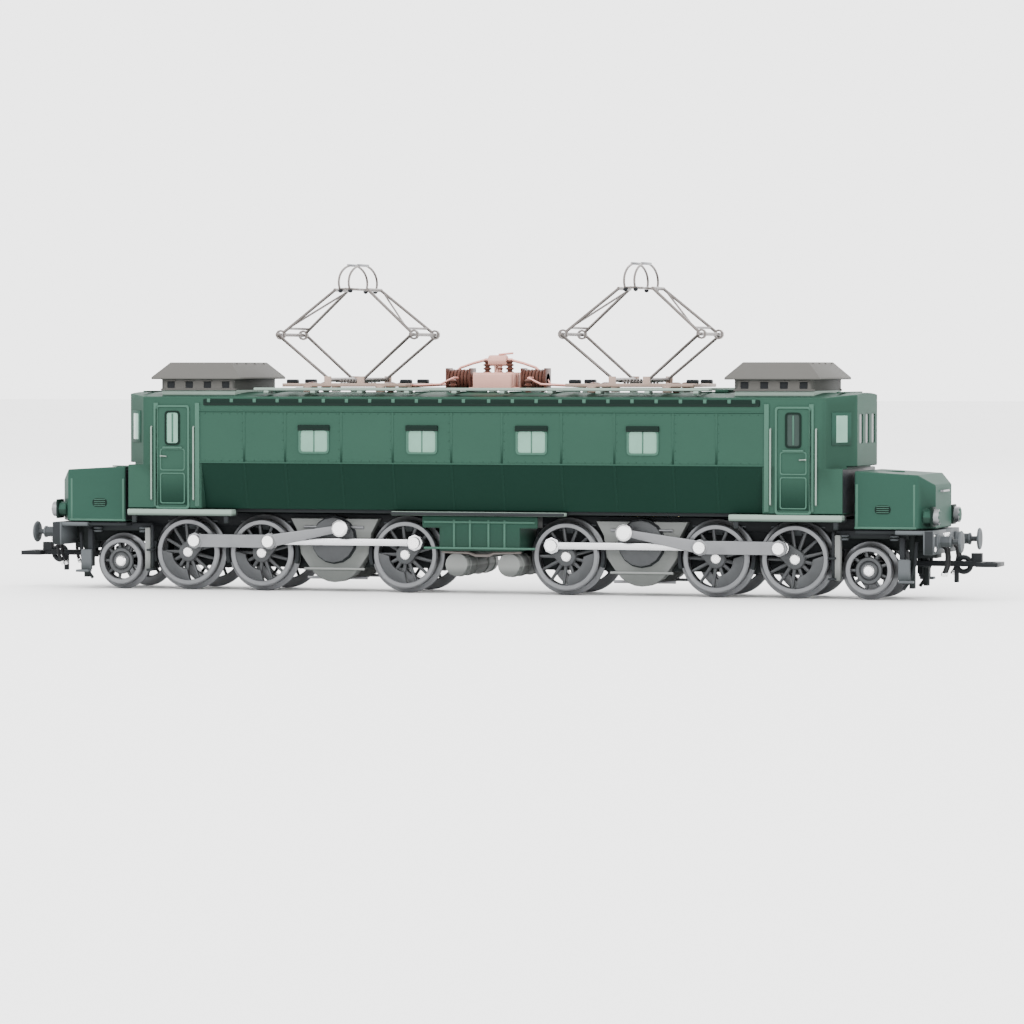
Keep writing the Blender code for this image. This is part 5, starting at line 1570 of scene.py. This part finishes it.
    def buffer_beam(self) -> None:
        """Hoses, hook, lamp brackets and rivets on the buffer beam."""
        low, high = node_box(f"bogie_frame_{self.end}")
        beam = max(abs(low.x), abs(high.x))
        hoses, metal, beamed = Workpiece(), Workpiece(), Workpiece()
        for y in self.hoses:
            way = [(beam - 0.4, y, 12.2), (beam + 0.8, y, 12.1), (beam + 1.5, y, 11.4)]
            way += [(beam + 1.7, y, 9.6), (beam + 1.5, y - 0.2, 7.6), (beam + 0.9, y - 0.6, 6.2)]
            hoses.tube(self.near_side(way), 0.42)
            tip = [(beam + 0.9, y - 0.6, 6.2), (beam + 0.6, y - 0.8, 5.4)]
            metal.rod(*self.near_side(tip), 0.55, sides=10, soft=0.12)
        for y in (3.0, 12.8):
            for z in (11.4, 14.6):
                rivet = [(beam - 0.1, y, z), (beam + 0.2, y, z)]
                metal.rod(*self.near_side(rivet), 0.3, 0.2, 8)
        metal.box(self.across(beam - 0.2, beam + 0.25), (-2.0, 0.0), (11.2, 14.9), 0.12)
        beamed.box(self.across(beam - 2.2, beam + 0.04), (-14.19, 0), (10.35, 15.64), 0.2)
        beamed.box(self.across(beam - 8.6, beam - 2.0), (-13.9, -12.4), (14.7, 15.64), 0.2)
        metal.ball((self.sign * (beam + 0.35), -13.2, 11.6), (0.3, 0.6, 0.6))
        hoses.mirrored("Y").done(f"air_hoses_{self.end}", "rubber", self.body, "coupler_black")
        metal.mirrored("Y").done(f"beam_fittings_{self.end}", "bright", self.body, "rod_steel")
        beamed.mirrored("Y").done(f"buffer_beam_face_{self.end}", "frame", self.body, "frame_grey")

    def buffers_and_coupler(self) -> None:
        """Buffers with their collars, and the loop coupler."""
        for side in SIDES:
            node = f"buffer_{self.end}_{side}"
            low, high = node_box(node)
            middle = (low + high) / 2
            root = min(abs(low.x), abs(high.x))
            long, head = high.x - low.x, (high.z - low.z) / 2
            section = [(0.0, 0.0), (1.5, 0.0), (1.5, 0.5), (1.2, 0.8), (1.2, 2.7)]
            section += [(1.35, 2.8), (1.35, 3.2)]
            section += [(1.1, 3.3), (0.6, 3.35), (0.6, long - 1.0), (head * 0.6, long - 0.75)]
            section += [(head - 0.1, long - 0.6), (head, long - 0.35), (head - 0.2, long - 0.12)]
            section += [(head * 0.5, long - 0.02), (0.0, long)]
            work = Workpiece()
            profile = [(radius, self.sign * along) for radius, along in section]
            work.turned(profile, "x", (self.sign * root, middle.y, middle.z), 32)
            work.box(
                self.across(root - 0.25, root + 0.35),
                (middle.y - 1.7, middle.y + 1.7),
                (middle.z - 1.7, middle.z + 1.7),
                0.15,
            )
            work.done(node + "_casting", "frame", self.body, "wheel_grey", (node,))
        node = f"coupler_{self.end}"
        low, high = node_box(node)
        tip = max(abs(low.x), abs(high.x))
        work = Workpiece().taken(node, 0.12)
        work.ring((self.sign * (tip - 8.4), 0, low.z + 4.0), "y", 1.6, 0.6, 24)
        work.done(node + "_moulding", "black", node, "coupler_black", (node,))

    def hood(self) -> None:
        """The hood with its lower strip, lamps, grille, rails and lid seams."""
        node = f"hood_{self.end}"
        low, high = node_box(node)
        softened(node, "_casting", "hood", self.body, "hood_green", 0.3, 10)
        back, wide = min(abs(low.x), abs(high.x)), high.y
        trims, dark, metal, lens = (Workpiece() for _ in range(4))
        foot = (low.z, low.z + 0.55)
        trims.box(self.across(back, back + 14.0), (-wide - 0.12, -wide + 0.4), foot, 0.15)
        for start, stop, proud in ((0.2, 0.8, 0.1), (13.2, 13.7, 0.05)):
            span = self.across(back + start, back + stop)
            trims.box(span, (-wide - proud, -wide + 0.3), (low.z, 25.8), 0.1)
        shade = Workpiece()
        across, upright = (-wide + 0.3, wide - 0.3), (low.z + 0.3, high.z - 0.9)
        shade.box(self.across(back - 0.05, back + 0.3), across, upright, 0.05)
        shade.done(f"hood_back_{self.end}", "black", self.body, "hood_green")
        grille = rounded_rectangle((self.sign * (back + 6.4), self.grille_z), (3.6, 1.9), 0.8)
        dark.prism(grille, Plane.XZ, (-wide - 0.08, -wide + 0.3))
        for index in range(4):
            z = self.grille_z - 0.7 + index * 0.45
            trims.box(self.across(back + 5.0, back + 7.8), (-wide - 0.2, -wide), (z, z + 0.15), 0.04)
        trims.box(self.across(back + 1.0, back + 8.5), (-0.35, 0), (high.z - 0.4, high.z - 0.1), 0.1)
        lamp_x, lamp_y, lamp_z = self.lamp
        section = [(1.15, -0.4), (1.15, 1.1), (1.4, 1.3), (1.75, 1.1), (1.8, -0.4), (1.15, -0.4)]
        turned = [(r, self.sign * a) for r, a in section]
        metal.turned(turned, "x", (self.sign * (lamp_x + 0.3), -lamp_y, lamp_z), 28)
        lens.ball((self.sign * (lamp_x + 0.95), -lamp_y, lamp_z), (0.45, 1.2, 1.2), 16)
        across = (-lamp_y - 2.0, -lamp_y + 2.0)
        dark.box(self.across(lamp_x - 0.3, lamp_x + 0.3), across, (16.4, 20.9), 0.3)
        root, out = self.step_rail
        way = [(root, 3.2, 24.2), (out, 3.2, 24.2), (out, 0, 24.2)]
        metal.tube(self.near_side(way), 0.22)
        trims.mirrored("Y").done(f"hood_trims_{self.end}", "trim", self.body, "hood_green")
        dark.mirrored("Y").done(f"hood_grilles_{self.end}", "dark", self.body, "hood_green")
        metal.mirrored("Y").done(f"lamp_rims_{self.end}", "plate", self.body, "wheel_grey")
        lens.mirrored("Y").done(f"lamp_lenses_{self.end}", "lens", self.body, "clear_glazing")

    def wheels(self) -> None:
        """Driving wheels, jackshaft and pony wheels."""
        cranks = self.crank_offsets()
        for name, joint in self.joints.items():
            reach = self.inner_rod_reach if name == "inner" else self.outer_rod_reach
            wheels = Wheelset(self.driver_tread, self.flange, 13, 2.3, True)
            wheels.build(f"driver_{self.end}_{name}", joint, cranks, reach)
        node = f"pony_wheelset_{self.end}"
        wheels = Wheelset(self.pony_tread, self.flange, 9, 2.0, False)
        wheels.build(node, f"pony_spin_{self.end}", {}, 0.0)
        node = f"jackshaft_{self.end}"
        softened(node, "_turned", "wheel", node, "wheel_grey", 0.12)
        caps = Workpiece()
        for side, sign in SIDES.items():
            pin = self.jack + cranks[side]
            cap = [(0.0, 13.2), (1.9, 13.2), (1.9, 13.5), (1.5, 13.9), (0.0, 14.0)]
            spun(caps, cap, sign, pin, 24)
        caps.done(f"jackshaft_caps_{self.end}", "bright", node, "rod_steel")
        node = f"pony_frame_{self.end}"
        softened(node, "_casting", "dusk", node, "frame_grey", 0.15)

    def rods(self) -> None:
        """The thin inner rods and the deep plate rods."""
        for side in SIDES:
            for layer, finish in (("inner", "steel"), ("outer", "plate")):
                node = f"rod_{self.end}_{layer}_{side}"
                softened(node, "_milled", finish, node, "rod_steel", 0.1)

    def build(self) -> None:
        """Makes every piece of the bogie."""
        self.frame_casting()
        self.springs_and_brakes()
        self.pony_surround()
        self.buffer_beam()
        self.buffers_and_coupler()
        self.hood()
        self.wheels()
        self.rods()


# --- Studio -------------------------------------------------------------------------


@dataclass
class Studio:
    """A pale floor, soft lights and the camera, in metres."""

    azimuth: float = 17.3
    elevation: float = 1.8
    distance: float = 1.05
    lens: float = 161.0
    aim: tuple[float, float, float] = (0.0033, 0.0, 0.0185)
    sensor: float = 36.0
    view_limit: float = 50.0
    floor_size: float = 6.0
    world_strength: float = 3.6

    def floor(self) -> None:
        """A wide pale floor at the lowest points of the wheels."""
        part = bmesh.new()
        bmesh.ops.create_grid(part, x_segments=1, y_segments=1, size=self.floor_size)
        data = bpy.data.meshes.new("floor")
        part.to_mesh(data)
        part.free()
        graph = Graph("floor_card")
        cloud = graph.noise(400.0)
        colour = graph.blend(cloud, (0.83, 0.83, 0.83), (0.87, 0.87, 0.87))
        data.materials.append(graph.shade({"Base Color": colour, "Roughness": 0.85}))
        floor = bpy.data.objects.new("floor", data)
        bpy.context.scene.collection.objects.link(floor)

    def light(self, name: str, place: tuple, size: tuple, power: float) -> None:
        """An area light that looks at the locomotive.

        Args:
            name: Its name.
            place: Where it stands, in metres.
            size: Its width and height.
            power: Its power in watts.
        """
        data = bpy.data.lights.new(name, "AREA")
        data.shape = "RECTANGLE"
        data.size, data.size_y = size
        data.energy = power
        lamp = bpy.data.objects.new(name, data)
        lamp.location = place
        heading = Vector(self.aim) - Vector(place)
        lamp.rotation_euler = heading.to_track_quat("-Z", "Y").to_euler()
        bpy.context.scene.collection.objects.link(lamp)

    def world(self) -> None:
        """Even white surroundings."""
        world = bpy.data.worlds.new("studio")
        world.use_nodes = True
        background = world.node_tree.nodes["Background"]
        background.inputs[0].default_value = (1, 1, 1, 1)
        background.inputs[1].default_value = self.world_strength
        bpy.context.scene.world = world

    def camera(self) -> None:
        """The camera at its viewing angle."""
        data = bpy.data.cameras.new("camera")
        data.lens = self.lens
        data.sensor_width = self.sensor
        data.clip_end = self.view_limit
        camera = bpy.data.objects.new("camera", data)
        turn, tilt = math.radians(self.azimuth), math.radians(self.elevation)
        flat = math.cos(tilt)
        away = Vector((math.sin(turn) * flat, -math.cos(turn) * flat, math.sin(tilt)))
        camera.location = Vector(self.aim) + away * self.distance
        camera.rotation_euler = (-away).to_track_quat("-Z", "Y").to_euler()
        bpy.context.scene.collection.objects.link(camera)
        bpy.context.scene.camera = camera

    def build(self) -> None:
        """Sets up the whole studio."""
        self.floor()
        self.world()
        self.light("key", (-0.5, -0.9, 0.9), (0.8, 0.8), 10)
        self.light("fill", (0.9, -0.7, 0.5), (0.6, 0.6), 4)
        self.light("back", (0.2, 0.9, 0.8), (1.0, 0.6), 6)
        self.camera()


def main() -> None:
    """Builds the locomotive and its studio, piece by piece."""
    logging.basicConfig(level=logging.INFO, format="%(name)s: %(message)s")
    Studio().build()
    for assembly in (BodyWork(), RoofGear(), Pantographs(), Underframe()):
        LOG.info("building %s", type(assembly).__name__)
        assembly.build()
    for end in ENDS:
        LOG.info("building the %s bogie", end)
        Bogie(end).build()
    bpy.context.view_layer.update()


if __name__ == "__main__":
    main()
